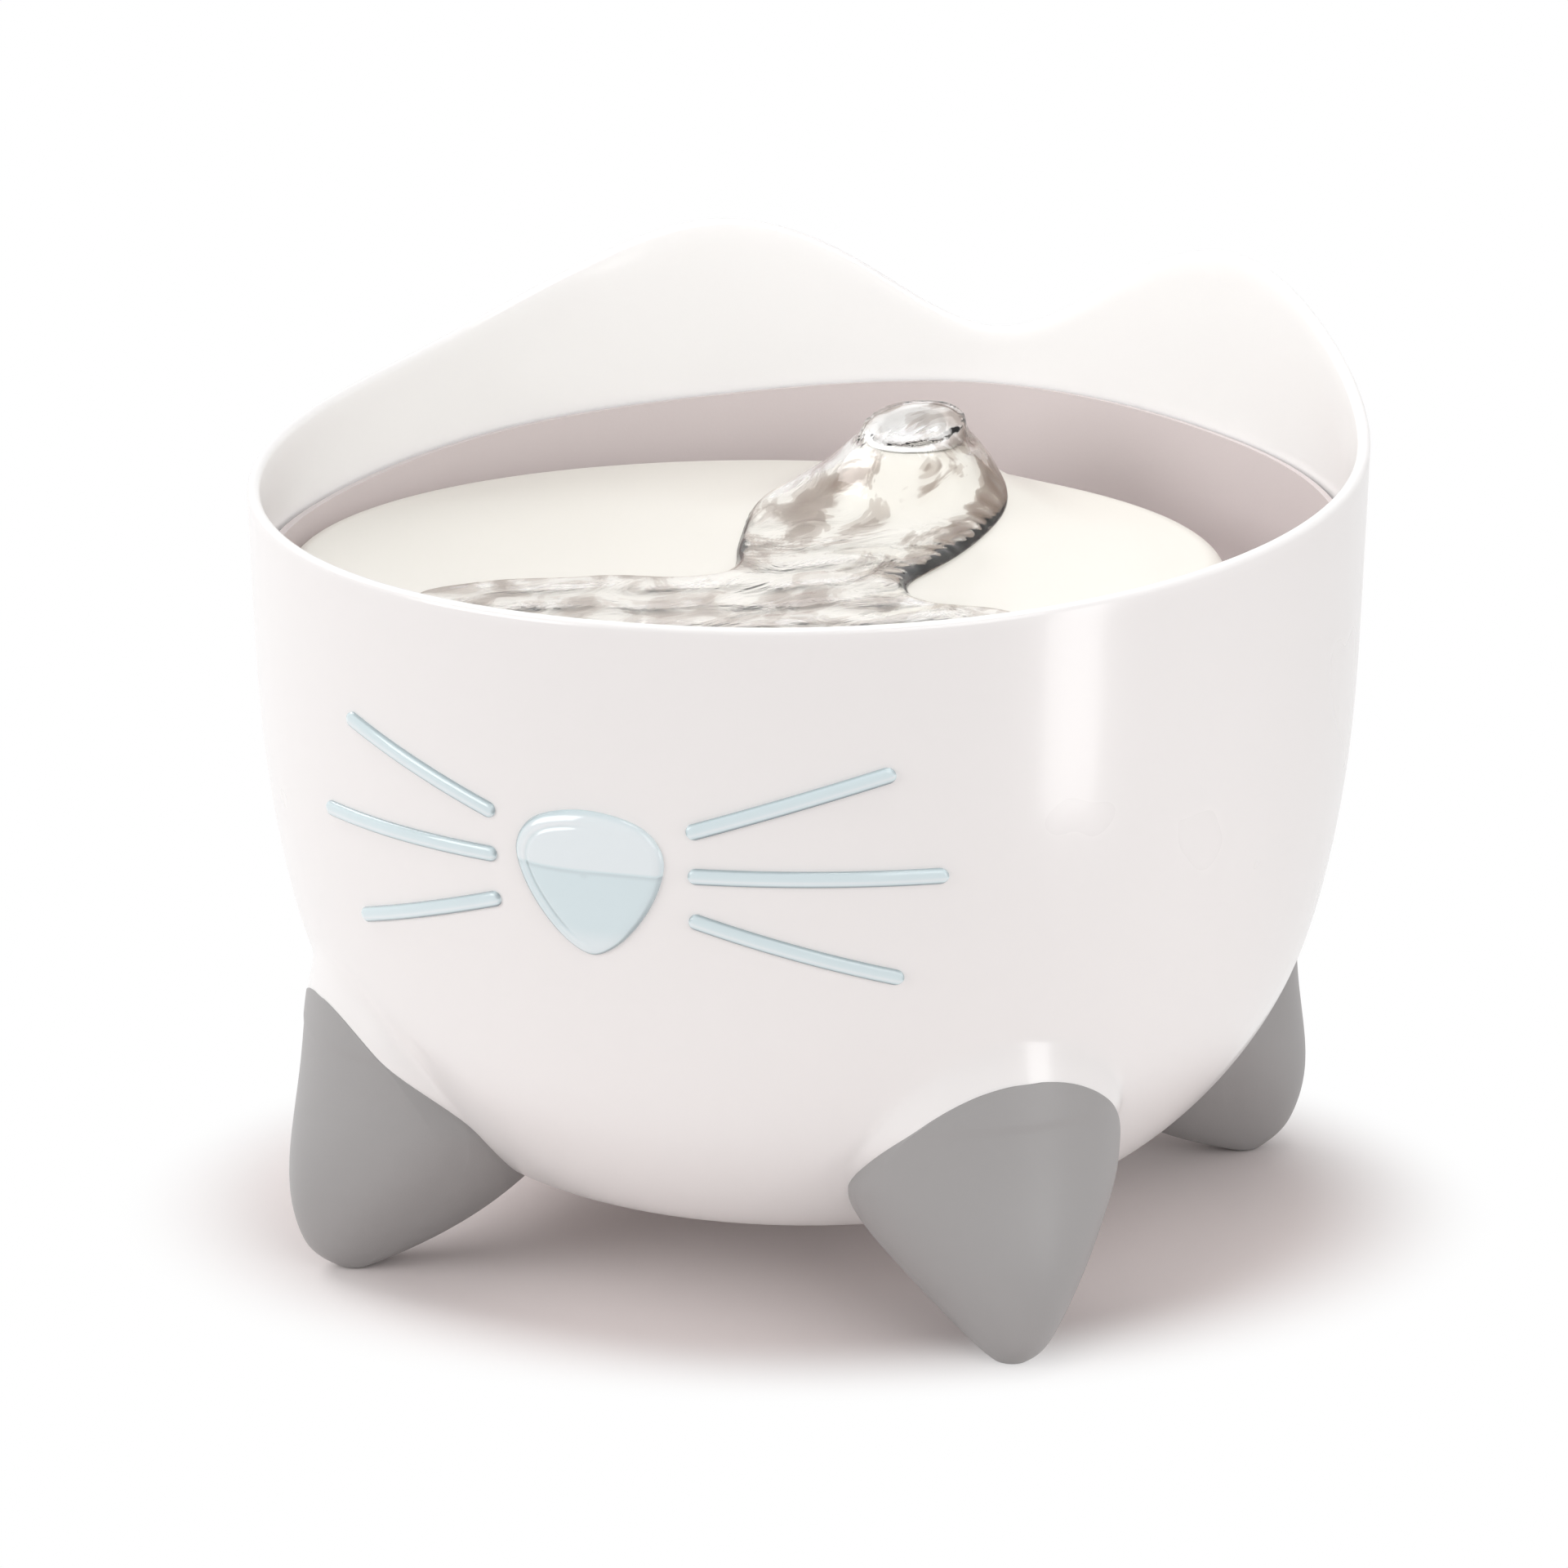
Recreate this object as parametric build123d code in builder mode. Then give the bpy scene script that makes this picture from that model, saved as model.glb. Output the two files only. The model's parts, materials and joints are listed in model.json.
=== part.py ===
from build123d import *
import math
import os

# Pet water fountain: a bowl-shaped reservoir with two ear peaks on its rim, standing on four
# claw-shaped feet. A lift-out tray carries the drinking dish and the filter, and a pump on the
# reservoir floor feeds a spout behind the middle of the dish.
# Millimetres, +Z up, the face towards -Y, origin on the ground under the middle of the bowl.

# ---- cuts and play ----
past = 60.0  # a cut this long runs right through any piece
slim = 0.1  # play round a piece that is pushed in
loose = 0.3  # play round a screw or a flange

# ---- bowl ----
wall = 2.4
rim_cut_top = 190.0
bowl_profile = [
    (50.0, 15.5), (62.7, 17.3), (71.8, 23.1), (82.0, 33.6), (92.4, 50.4),
    (98.8, 71.4), (102.6, 97.7), (103.8, 124.0), (104.5, 150.0), (105.0, 178.0),
]  # outer radius, height
rim_wave = [(0, 138.9), (38, 140.2), (65, 143.6), (90, 148.1), (112, 154.6), (131, 166.2),
            (149, 174.6), (164, 166.2), (180, 153.6)]  # degrees round from the face, height
ledge_wave = [(0, 129.7), (60, 129.7), (90, 130.5), (120, 135.2), (150, 139.0), (180, 142.2)]

# ---- feet ----
foot_angles = {"front_left": -45.0, "front_right": 45.0, "rear_left": -131.0, "rear_right": 131.0}
foot_sections = [
    (0.4, 95.6, 88.4, 3.2), (2.4, 98.7, 82.0, 5.0), (7.4, 102.4, 70.0, 9.0),
    (15.8, 104.0, 58.0, 16.0), (24.2, 103.2, 52.0, 22.0), (33.6, 101.0, 56.0, 25.0),
    (42.0, 99.6, 62.0, 23.4), (47.5, 98.2, 67.0, 19.6), (51.6, 97.0, 72.0, 13.4),
    (53.4, 96.5, 74.0, 8.2), (54.0, 96.2, 76.0, 4.4),
]  # height, outer radius, inner radius, half width
hood_sections = [
    (28.7, 103.0, 60.0, 23.4), (38.1, 101.2, 60.0, 27.0), (46.5, 99.4, 64.0, 25.4),
    (52.0, 98.0, 68.0, 21.6), (56.1, 96.9, 72.0, 15.4), (57.9, 96.2, 74.0, 10.2),
    (58.6, 95.8, 76.0, 6.4),
]
foot_gap = 0.15
hood_bottom = 37.0
hood_reach = 14.0
screw_radius = 84.0
screw_head_r = 3.5
screw_head_low = 20.0
screw_head_high = 22.4
screw_r = 1.5
screw_top = 43.0
screw_tip_room = 0.5
screw_cross = (4.0, 0.9)
screw_cross_deep = 1.4
boss_r = 4.2
boss_low = 28.0
boss_top = 45.5
pad_radius = 92.0
pad_size = (2.6, 2.2)
pad_top = 2.0

# ---- face ----
nose_half = [(5.9, 104.3), (10.8, 102.0), (13.7, 97.6), (13.3, 93.2), (11.4, 88.6),
             (7.6, 83.0), (3.4, 79.3)]  # from the flat top round to the tip
nose_top = 105.1
nose_tip = 78.3
nose_proud = 1.4
nose_flange = 3.0
gasket_thick = 0.8
flange_thick = 2.0
whisker_ends = {
    "upper": ((18.0, 102.3), (51.8, 113.6)),
    "middle": ((18.0, 94.6), (59.3, 94.6)),
    "lower": ((17.8, 86.6), (51.8, 75.6)),
}  # inner end, outer end: distance from the middle, height
whisker_width = 2.9
whisker_proud = 0.9
whisker_depth = 0.85
press_gap = 0.05

# ---- power inlet in the back wall ----
inlet_z = 98.0
inlet_pad_r = 11.0
inlet_seat_in = 98.0
inlet_seat_out = 102.9
inlet_r = 6.0
inlet_flange_r = 9.5
inlet_face = 104.7
inlet_tail = 86.0
plug_r = 2.85
plug_depth = 10.0
pin_root = 4.0
pin_stand = 3.0
pin_round = 0.4
seal_inset = 1.5
inlet_bore_half = 10.0
inlet_seat_cut = 5.0
pin_r = 1.0
nut_across = 15.0
nut_low = 93.2
seal_low = 97.0

# ---- tray ----
tray_low = 110.5
tray_floor = 113.0
collar_low_r = 100.3
collar_high_r = 101.4
collar_inner_low = 98.1
collar_inner_high = 100.7
collar_cut = 146.0
lug_count = 6
lug_ring = 96.0
lug_size = (6.5, 12.0, 5.0)
lug_drop = 0.2
filter_x, filter_y = 0.0, -20.0
filter_r = 42.0
skirt_gap = 0.6
skirt_wall = 2.0
skirt_low = 95.0
post_ring = 72.0
post_r = 3.0
post_top = 124.4
post_start = 45.0
post_count = 4
grille_rings = (10.0, 18.0, 26.0, 34.0)
grille_hole_r = 2.6
grille_density = 0.6
riser_room = 0.6

# ---- dish ----
dish_x, dish_y = -9.5, -2.0
dish_r = 88.5
dish_shell = 2.4
dish_centre_z = 125.2
dish_crown_z = 127.7
dish_round = 4.5
dish_low = 118.0
spout_y = 57.0
mound_foot_r = 36.0
mound_mid = (22.0, 129.6)
mound_top = (10.4, 137.8)
mound_roll = 5.5
mound_rise = 1.2
mound_skirt = 2.0
mound_foot_rise = 0.6
mound_slant = (0.4, 0.8)  # how far the underside's middle and top are drawn in, per mm of depth
mound_floor = 90.0
mound_roof = 170.0
dish_knee = (50.0, 0.7)
dish_corner = 0.4
mound_collar_low = 9.0
mound_collar_tall = 9.5

# ---- spout ----
nozzle_r = 8.0
nozzle_bore = 5.6
nozzle_low = 114.0
nozzle_top = 139.8
nozzle_flange_r = 9.6
nozzle_gap = 0.15
socket_top = 127.0
riser_r = 6.0
riser_bore = 4.5
riser_low = 60.2
riser_top = 126.5
slide_gap = 0.05
ring_low, ring_high, ring_out = 119.0, 121.0, 7.0
mouth_round = 1.2
flange_round = 0.9
flange_lift = 0.1

# ---- filter ----
casing_wall = 1.6
casing_low = 92.2
casing_high = 108.8
casing_flange_r = 46.5
casing_flange_top = 94.6
media = {"filter_felt": (94.0, 97.4), "filter_carbon": (97.6, 102.9), "filter_foam": (103.1, 106.8)}
lid_low, lid_high = 107.0, 108.6
media_play = 0.1
lid_play = 0.05
casing_rings = (12.0, 22.0, 32.0)
lid_rings = (10.0, 19.0, 28.0)
filter_hole_r = 2.6
filter_hole_density = 0.5

# ---- pump ----
pump_z = 43.0
pump_half = 20.0
pump_low, pump_high = 24.0, 58.0
pump_front, pump_back = 14.0, 51.5
pump_wall = 2.0
pump_corner = 5.0
pump_inner_corner = 3.0
bulkhead = 3.5
well_floor = 2.0
outlet_r = 3.6
outlet_back = 1.0
outlet_low = 3.0
volute_r = 18.0
volute_back = 61.0
chamber_r = 13.0
well_out_r, well_in_r = 9.0, 7.6
well_end = 20.0
socket_out_r = 8.5
socket_play = 0.02
socket_low, socket_high = 58.4, 68.0
cap_front = 10.0
cap_round = 1.5
lens_proud = 1.6
lens_round = 1.2
board_size = (14.0, 6.5)
board_thick = 1.2
chip_size = (3.5, 2.8)
chip_tall = 1.4
cup_r, cup_neck_r, cup_tall = 5.5, 2.8, 2.2
lens_r = 3.0
lens_z = 50.0
cup_floor = 17.9
cup_places = [(-13.0, 20.0), (13.0, 20.0), (-13.0, 43.0), (13.0, 43.0)]
core_half, core_low, core_high = 15.0, 28.5, 50.0
core_front, core_back = 27.0, 43.0
yoke_top = 32.0
core_play = 0.2
core_window = (17.0, 8.0)
coil_size = (16.0, 5.0, 7.4)  # width, overhang along the core, height
coil_window = 20.0
potting_front, potting_back = 17.5, 48.0
shaft_r = 1.0
shaft_gap = 0.06
magnet_r = 6.8
magnet_front, magnet_back = 23.5, 48.0
wheel_r = 11.5
wheel_face = 52.4
wheel_thick = 1.3
hub_r, hub_skirt_r = 3.0, 5.0
blade_start = 2.0
blade_end_gap = 0.4
blade_thick = 1.2
blade_back = 59.5
blade_count = 6
bush_r, bush_long = 3.2, 1.4
front_bush_r, front_bush_long = 3.0, 2.6
cover_slots = (8.6, 8)  # ring radius, count
cover_slot_size = (4.6, 3.0)
cover_lip = (0.2, 1.6, 1.0)  # lip's outer and inner play in the chamber, lip length
cover_boss_r = 4.5
cover_r = 15.0
cover_face = 61.1
cover_back = 64.0
foam_r = 11.0
foam_back = 68.0
foam_round = 1.0

# ---- pump lead: centre line from the inlet's tail to the gland on top of the pump ----
lead_r = 1.6
lead_route = [(0.0, 86.0, 98.0), (0.0, 70.0, 98.0), (-14.0, 59.0, 90.0), (-16.0, 44.0, 78.0),
              (-12.0, 32.0, 72.0), (-12.0, 32.0, 58.0)]
clip_z = 84.0
clip_eye_r = 3.2
clip_tall = 5.0
clip_ring_wall = 2.0
clip_web = (2.0, 1.5)  # half widths of the web at the ring and at the eye
corner_share = 0.45
lead_steps = 200
lead_route_way = Vector(lead_route[3]) - Vector(lead_route[2])

os.makedirs("parts", exist_ok=True)


def save(built, name):
    built.part.label = name
    export_step(built.part, f"parts/{name}.step")


def around(radius, degrees, z):
    """A point at a radius and an angle from the face, turning towards +X."""
    turn = math.radians(degrees)
    return Vector(radius * math.sin(turn), -radius * math.cos(turn), z)


# ---- forms that several pieces are cut from ----
bowl_skin = Spline(*bowl_profile, tangents=[(1, 0), (0.02, 1)], tangent_scalars=[0.5, 0.5])
nose_edge = Spline((0, nose_top), *nose_half, (0, nose_tip), tangents=[(1, 0), (-1, 0)])


def skin_points(grow, count=14):
    """The bowl's outer profile moved out along its normals."""
    points = []
    for step in range(count + 1):
        spot = bowl_skin @ (step / count)
        along = bowl_skin % (step / count)
        points.append((spot.X + grow * along.Y, spot.Y - grow * along.X))
    return points


def bowl_form(grow):
    """The bowl as a solid of revolution, its skin moved out by grow."""
    with BuildPart() as form:
        with BuildSketch(Plane.XZ):
            with BuildLine():
                skin = Spline(*skin_points(grow))
                start, end = skin @ 0, skin @ 1
                Polyline(end, (end.X, rim_cut_top), (0, rim_cut_top), (0, start.Y), start)
            make_face()
        revolve(axis=Axis.Z)
    return form.part


def above_wave(heights):
    """Everything above a line that rises and falls round the bowl, the same on both sides."""
    other_side = [(360 - turn, z) for turn, z in reversed(heights[1:-1])]
    rings = [
        Edge.make_spline([around(radius, turn, z) for turn, z in heights + other_side], periodic=True)
        for radius in (80.0, 125.0)
    ]
    return extrude(Face.make_surface_from_curves(*rings), amount=100.0, dir=(0, 0, 1))


def foot_form(sections, degrees, grow=0.0, reach=0.0):
    """One claw-shaped foot as a loft of level ovals, before the bowl is cut away from it."""
    with BuildPart() as form:
        for height, outer, inner, half_width in sections:
            middle = around((outer + reach + inner) / 2, degrees, height)
            oval = Plane(origin=middle, x_dir=around(1, degrees, 0), z_dir=(0, 0, 1))
            with BuildSketch(oval):
                Ellipse((outer + reach - inner) / 2 + grow, half_width + grow)
        loft()
    return form.part


def foot_plane(radius, degrees):
    """The ground under a foot, its first direction pointing out from the bowl."""
    return Plane(around(radius, degrees, 0), x_dir=around(1, degrees, 0), z_dir=(0, 0, 1))


def back_plane(y, z):
    """An upright plane across the bowl that faces the back."""
    return Plane((0, y, z), x_dir=(1, 0, 0), z_dir=(0, 1, 0))


def facing_bar(start, end, width):
    """A round-ended bar seen from the front, drawn straight through the face of the bowl."""
    start, end = sorted((start, end))
    run = Vector(end[0] - start[0], end[1] - start[1])
    middle = ((start[0] + end[0]) / 2, (start[1] + end[1]) / 2)
    slant = math.degrees(math.atan2(run.Y, run.X))
    with BuildPart() as bar:
        with BuildSketch(Plane.XZ):
            with Locations(middle):
                SlotOverall(run.length, width, rotation=slant)
        extrude(amount=120.0)
    return bar.part


def nose_points(grow, count=12):
    """The right half of the nose outline, from the top to the tip, moved out along its normals."""
    points = []
    for step in range(count + 1):
        spot = nose_edge @ (step / count)
        along = nose_edge % (step / count)
        points.append((spot.X - grow * along.Y, spot.Y + grow * along.X))
    return points


def nose_form(grow):
    """The nose outline, a rounded triangle on its tip, drawn through the face of the bowl."""
    half = nose_points(grow)
    with BuildPart() as form:
        with BuildSketch(Plane.XZ):
            with BuildLine():
                Spline(*half, tangents=[(1, 0), (-1, 0)])
                Spline(*[(-x, z) for x, z in half], tangents=[(-1, 0), (1, 0)])
            make_face()
        extrude(amount=120.0)
    return form.part


outside = bowl_form(0.0)
inside = bowl_form(-wall)
above_rim = above_wave(rim_wave)
above_ledge = above_wave(ledge_wave)
whiskers = {}
for row, (inner_end, outer_end) in whisker_ends.items():
    for side, sign in (("left", -1), ("right", 1)):
        whiskers[f"whisker_{row}_{side}"] = (
            (sign * inner_end[0], inner_end[1]),
            (sign * outer_end[0], outer_end[1]),
        )

# ---- reservoir bowl, with a raised lip that frames the top of each foot ----
hoods = []
for degrees in foot_angles.values():
    hood_outer = foot_form(hood_sections, degrees)
    foot_room = foot_form(foot_sections, degrees, foot_gap)
    foot_front = foot_form(foot_sections, degrees, foot_gap, hood_reach)
    with BuildPart() as hood:
        add(hood_outer)
        with Locations((0, 0, hood_bottom)):
            Box(300, 300, 100, align=(Align.CENTER, Align.CENTER, Align.MAX), mode=Mode.SUBTRACT)
        add(foot_room, mode=Mode.SUBTRACT)
        add(foot_front, mode=Mode.SUBTRACT)
    hoods.append(hood.part)

groove_floor = bowl_form(-whisker_depth - press_gap)
grooves = []
for start, end in whiskers.values():
    groove_bar = facing_bar(start, end, whisker_width + 2 * press_gap)
    with BuildPart() as groove:
        add(groove_bar)
        add(groove_floor, mode=Mode.SUBTRACT)
    grooves.append(groove.part)

nose_hole = nose_form(press_gap)
screw_spots = [around(screw_radius, degrees, 0) for degrees in foot_angles.values()]

with BuildPart() as screw_bosses:
    with BuildSketch(Plane.XY.offset(boss_low)):
        with Locations(*screw_spots):
            Circle(boss_r)
    extrude(amount=boss_top - boss_low)
    add(outside, mode=Mode.INTERSECT)

with BuildPart() as reservoir_bowl:
    add(outside)
    for groove_part in grooves:
        add(groove_part, mode=Mode.SUBTRACT)
    add(nose_hole, mode=Mode.SUBTRACT)
    for hood_part in hoods:
        add(hood_part)
    add(inside, mode=Mode.SUBTRACT)
    add(above_rim, mode=Mode.SUBTRACT)
    # blind bosses for the foot screws, rising from the wall
    add(screw_bosses.part)
    with BuildSketch(Plane.XY.offset(screw_head_high)):
        with Locations(*screw_spots):
            Circle(screw_r + press_gap)
    extrude(amount=screw_top - screw_head_high + screw_tip_room, mode=Mode.SUBTRACT)
    # lugs that carry the tray
    with PolarLocations(lug_ring, lug_count):
        with Locations((0, 0, tray_low - lug_drop)):
            Box(*lug_size, align=(Align.MIN, Align.CENTER, Align.MAX))
    # flat pad, seat and hole for the power inlet
    with BuildSketch(back_plane(inlet_seat_in, inlet_z)):
        Circle(inlet_pad_r)
    extrude(amount=inlet_seat_out - inlet_seat_in)
    with BuildSketch(back_plane(inlet_seat_out, inlet_z)):
        Circle(inlet_flange_r + loose)
    extrude(amount=inlet_seat_cut, mode=Mode.SUBTRACT)
    with BuildSketch(back_plane(inlet_seat_in, inlet_z)):
        Circle(inlet_r + slim)
    extrude(amount=inlet_bore_half, both=True, mode=Mode.SUBTRACT)
save(reservoir_bowl, "reservoir_bowl")

# ---- feet, their pads and screws ----
foot_clear = bowl_form(foot_gap)
for place, degrees in foot_angles.items():
    foot_block = foot_form(foot_sections, degrees)
    with BuildPart() as foot:
        add(foot_block)
        add(foot_clear, mode=Mode.SUBTRACT)
        with BuildSketch(Plane.XY.offset(screw_head_high)):
            with Locations(around(screw_radius, degrees, 0)):
                Circle(screw_head_r + screw_tip_room)
        extrude(amount=-past, mode=Mode.SUBTRACT)
        with BuildSketch(Plane.XY.offset(screw_head_high)):
            with Locations(around(screw_radius, degrees, 0)):
                Circle(screw_r + loose)
        extrude(amount=past, mode=Mode.SUBTRACT)
        with BuildSketch(foot_plane(pad_radius, degrees)):
            Ellipse(pad_size[0] + press_gap, pad_size[1] + press_gap)
        extrude(amount=pad_top, mode=Mode.SUBTRACT)
    save(foot, f"foot_{place}")

with BuildPart() as foot_pads:
    for degrees in foot_angles.values():
        with BuildSketch(foot_plane(pad_radius, degrees)):
            Ellipse(*pad_size)
    extrude(amount=pad_top)
save(foot_pads, "foot_pads")

with BuildPart() as foot_screws:
    with BuildSketch(Plane.XY.offset(screw_head_low)):
        with Locations(*screw_spots):
            Circle(screw_head_r)
    extrude(amount=screw_head_high - screw_head_low)
    with BuildSketch(Plane.XY.offset(screw_head_low)):
        with Locations(*screw_spots):
            Rectangle(*screw_cross)
            Rectangle(*reversed(screw_cross))
    extrude(amount=screw_cross_deep, mode=Mode.SUBTRACT)
    with BuildSketch(Plane.XY.offset(screw_head_high)):
        with Locations(*screw_spots):
            Circle(screw_r)
    extrude(amount=screw_top - screw_head_high)
save(foot_screws, "foot_screws")

# ---- face: nose window, its gasket and the whiskers ----
nose_face = bowl_form(nose_proud)
gasket_face = bowl_form(-wall - gasket_thick)
flange_back = bowl_form(-wall - gasket_thick - flange_thick)
nose_stem = nose_form(0.0)
flange_stem = nose_form(nose_flange)
gasket_stem = nose_form(nose_flange - loose)

with BuildPart() as nose_lens:
    add(nose_stem)
    add(nose_face, mode=Mode.INTERSECT)
    add(gasket_face, mode=Mode.SUBTRACT)
with BuildPart() as nose_window:
    add(flange_stem)
    add(gasket_face, mode=Mode.INTERSECT)
    add(flange_back, mode=Mode.SUBTRACT)
    add(nose_lens.part)
save(nose_window, "nose_window")

with BuildPart() as nose_gasket:
    add(gasket_stem)
    add(nose_hole, mode=Mode.SUBTRACT)
    add(inside, mode=Mode.INTERSECT)
    add(gasket_face, mode=Mode.SUBTRACT)
save(nose_gasket, "nose_gasket")

whisker_face = bowl_form(whisker_proud)
whisker_seat = bowl_form(-whisker_depth)
for name, (start, end) in whiskers.items():
    whisker_bar = facing_bar(start, end, whisker_width)
    with BuildPart() as whisker:
        add(whisker_bar)
        add(whisker_face, mode=Mode.INTERSECT)
        add(whisker_seat, mode=Mode.SUBTRACT)
    save(whisker, name)

# ---- power inlet: socket, contact pin, gasket and nut ----
with BuildPart() as power_inlet:
    with BuildSketch(back_plane(inlet_tail, inlet_z)):
        Circle(inlet_r)
    extrude(amount=inlet_seat_out - inlet_tail)
    with BuildSketch(back_plane(inlet_seat_out, inlet_z)):
        Circle(inlet_flange_r)
    extrude(amount=inlet_face - inlet_seat_out)
    with BuildSketch(back_plane(inlet_face, inlet_z)):
        Circle(plug_r)
    extrude(amount=-plug_depth, mode=Mode.SUBTRACT)
    with BuildSketch(back_plane(inlet_face, inlet_z)):
        Circle(pin_r)
    extrude(amount=-plug_depth - pin_root, mode=Mode.SUBTRACT)
save(power_inlet, "power_inlet")

with BuildPart() as inlet_pin:
    with BuildSketch(back_plane(inlet_face - plug_depth - pin_root, inlet_z)):
        Circle(pin_r)
    extrude(amount=plug_depth + pin_stand)
    fillet(inlet_pin.faces().sort_by(Axis.Y)[-1].edges(), radius=pin_round)
save(inlet_pin, "inlet_pin")

with BuildPart() as inlet_gasket:
    with BuildSketch(back_plane(seal_low, inlet_z)):
        Circle(inlet_pad_r - seal_inset)
        Circle(inlet_r + slim, mode=Mode.SUBTRACT)
    extrude(amount=inlet_seat_in - seal_low)
save(inlet_gasket, "inlet_gasket")

with BuildPart() as inlet_nut:
    with BuildSketch(back_plane(nut_low, inlet_z)):
        RegularPolygon(nut_across / 2, 6, major_radius=False)
        Circle(inlet_r, mode=Mode.SUBTRACT)
    extrude(amount=seal_low - nut_low)
save(inlet_nut, "inlet_nut")

# ---- pump lead, held by a clip on the riser ----
corner_radii = []
for before, corner, after in zip(lead_route, lead_route[1:], lead_route[2:]):
    run_in, run_out = Vector(corner) - Vector(before), Vector(after) - Vector(corner)
    turn = math.radians(run_in.get_angle(run_out))
    corner_radii.append(corner_share * min(run_in.length, run_out.length) / math.tan(turn / 2))
print("lead corner radii", [round(radius, 1) for radius in corner_radii])
with BuildPart() as pump_lead:
    with BuildLine() as lead_path:
        FilletPolyline(*lead_route, radius=corner_radii)
    with BuildSketch(Plane(lead_path.line @ 0, z_dir=lead_path.line % 0)):
        Circle(lead_r)
    sweep()
lead_length = sum(edge.length for edge in lead_path.edges())
print("lead length", round(lead_length, 1), "volume share",
      round(pump_lead.part.volume / (lead_length * math.pi * lead_r**2), 4))
save(pump_lead, "pump_lead")

lead_spots = [lead_path.line @ (step / lead_steps) for step in range(lead_steps + 1)]
lead_at_clip = min(lead_spots, key=lambda spot: abs(spot.Z - clip_z))
with BuildPart() as lead_clip:
    with BuildSketch(Plane.XY.offset(clip_z - clip_tall / 2)):
        with Locations((0, spout_y)):
            Circle(riser_r + clip_ring_wall)
        with Locations((lead_at_clip.X, lead_at_clip.Y)):
            Circle(clip_eye_r)
        with BuildLine():
            Polyline((0, spout_y - clip_web[0]), (lead_at_clip.X, lead_at_clip.Y - clip_web[1]),
                     (lead_at_clip.X, lead_at_clip.Y + clip_web[1]), (0, spout_y + clip_web[0]), close=True)
        make_face()
        with Locations((0, spout_y)):
            Circle(riser_r + slide_gap, mode=Mode.SUBTRACT)
    extrude(amount=clip_tall)
    with BuildSketch(Plane(lead_at_clip, z_dir=lead_route_way)):
        Circle(lead_r + slim)
    extrude(amount=2 * clip_tall, both=True, mode=Mode.SUBTRACT)
save(lead_clip, "lead_clip")

# ---- pump housing: motor block, volute, outlet socket ----
with BuildPart() as pump_housing:
    with BuildSketch(back_plane(pump_front, (pump_low + pump_high) / 2)):
        RectangleRounded(2 * pump_half, pump_high - pump_low, pump_corner)
    extrude(amount=pump_back - pump_front)
    with BuildSketch(back_plane(pump_back - bulkhead, pump_z)):
        Circle(volute_r)
    extrude(amount=volute_back - pump_back + bulkhead)
    # motor space, open to the front
    with BuildSketch(back_plane(pump_front, (pump_low + pump_high) / 2)):
        RectangleRounded(2 * (pump_half - pump_wall), pump_high - pump_low - 2 * pump_wall,
                         pump_inner_corner)
    extrude(amount=pump_back - pump_front - bulkhead, mode=Mode.SUBTRACT)
    # closed well that the rotor turns in
    with BuildSketch(back_plane(well_end, pump_z)):
        Circle(well_out_r)
    extrude(amount=pump_back - well_end)
    with BuildSketch(back_plane(well_end + well_floor, pump_z)):
        Circle(well_in_r)
    extrude(amount=volute_back - well_end - well_floor, mode=Mode.SUBTRACT)
    with BuildSketch(back_plane(volute_back, pump_z)):
        Circle(chamber_r)
    extrude(amount=pump_back - volute_back, mode=Mode.SUBTRACT)
    # outlet up to the riser
    with BuildSketch(Plane.XY.offset(socket_low)):
        with Locations((0, spout_y)):
            Circle(socket_out_r)
    extrude(amount=socket_high - socket_low)
    with BuildSketch(Plane.XY.offset(pump_z + chamber_r - outlet_low)):
        with Locations((0, spout_y - outlet_back)):
            Circle(outlet_r)
    extrude(amount=past, mode=Mode.SUBTRACT)
    with BuildSketch(Plane.XY.offset(riser_low)):
        with Locations((0, spout_y)):
            Circle(riser_r + socket_play)
    extrude(amount=past, mode=Mode.SUBTRACT)
save(pump_housing, "pump_housing")

with BuildPart() as pump_end_cap:
    with BuildSketch(back_plane(cap_front, (pump_low + pump_high) / 2)):
        RectangleRounded(2 * pump_half, pump_high - pump_low, pump_corner)
    extrude(amount=pump_front - cap_front)
    fillet(pump_end_cap.faces().sort_by(Axis.Y)[0].edges(), radius=cap_round)
    with BuildSketch(back_plane(cap_front, lens_z)):
        Circle(lens_r)
    extrude(amount=past, mode=Mode.SUBTRACT)
save(pump_end_cap, "pump_end_cap")

with BuildPart() as led_lens:
    with BuildSketch(back_plane(pump_front, lens_z)):
        Circle(lens_r)
    extrude(amount=cap_front - pump_front - lens_proud)
    fillet(led_lens.faces().sort_by(Axis.Y)[0].edges(), radius=lens_round)
save(led_lens, "led_lens")

with BuildPart() as led_board:
    with BuildSketch(back_plane(pump_front + lens_proud, lens_z)):
        Rectangle(*board_size)
    extrude(amount=board_thick)
    with BuildSketch(back_plane(pump_front + lens_proud, lens_z)):
        Rectangle(*chip_size)
    extrude(amount=-chip_tall)
save(led_board, "led_board")

with BuildPart() as suction_cups:
    for x, y in cup_places:
        with BuildSketch(Plane.XY.offset(cup_floor)):
            with Locations((x, y)):
                Circle(cup_r)
        with BuildSketch(Plane.XY.offset(cup_floor + cup_tall)):
            with Locations((x, y)):
                Circle(cup_neck_r)
        loft()
        with BuildSketch(Plane.XY.offset(cup_floor + cup_tall)):
            with Locations((x, y)):
                Circle(cup_neck_r)
        extrude(amount=pump_low - cup_floor - cup_tall)
save(suction_cups, "suction_cups")

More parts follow.
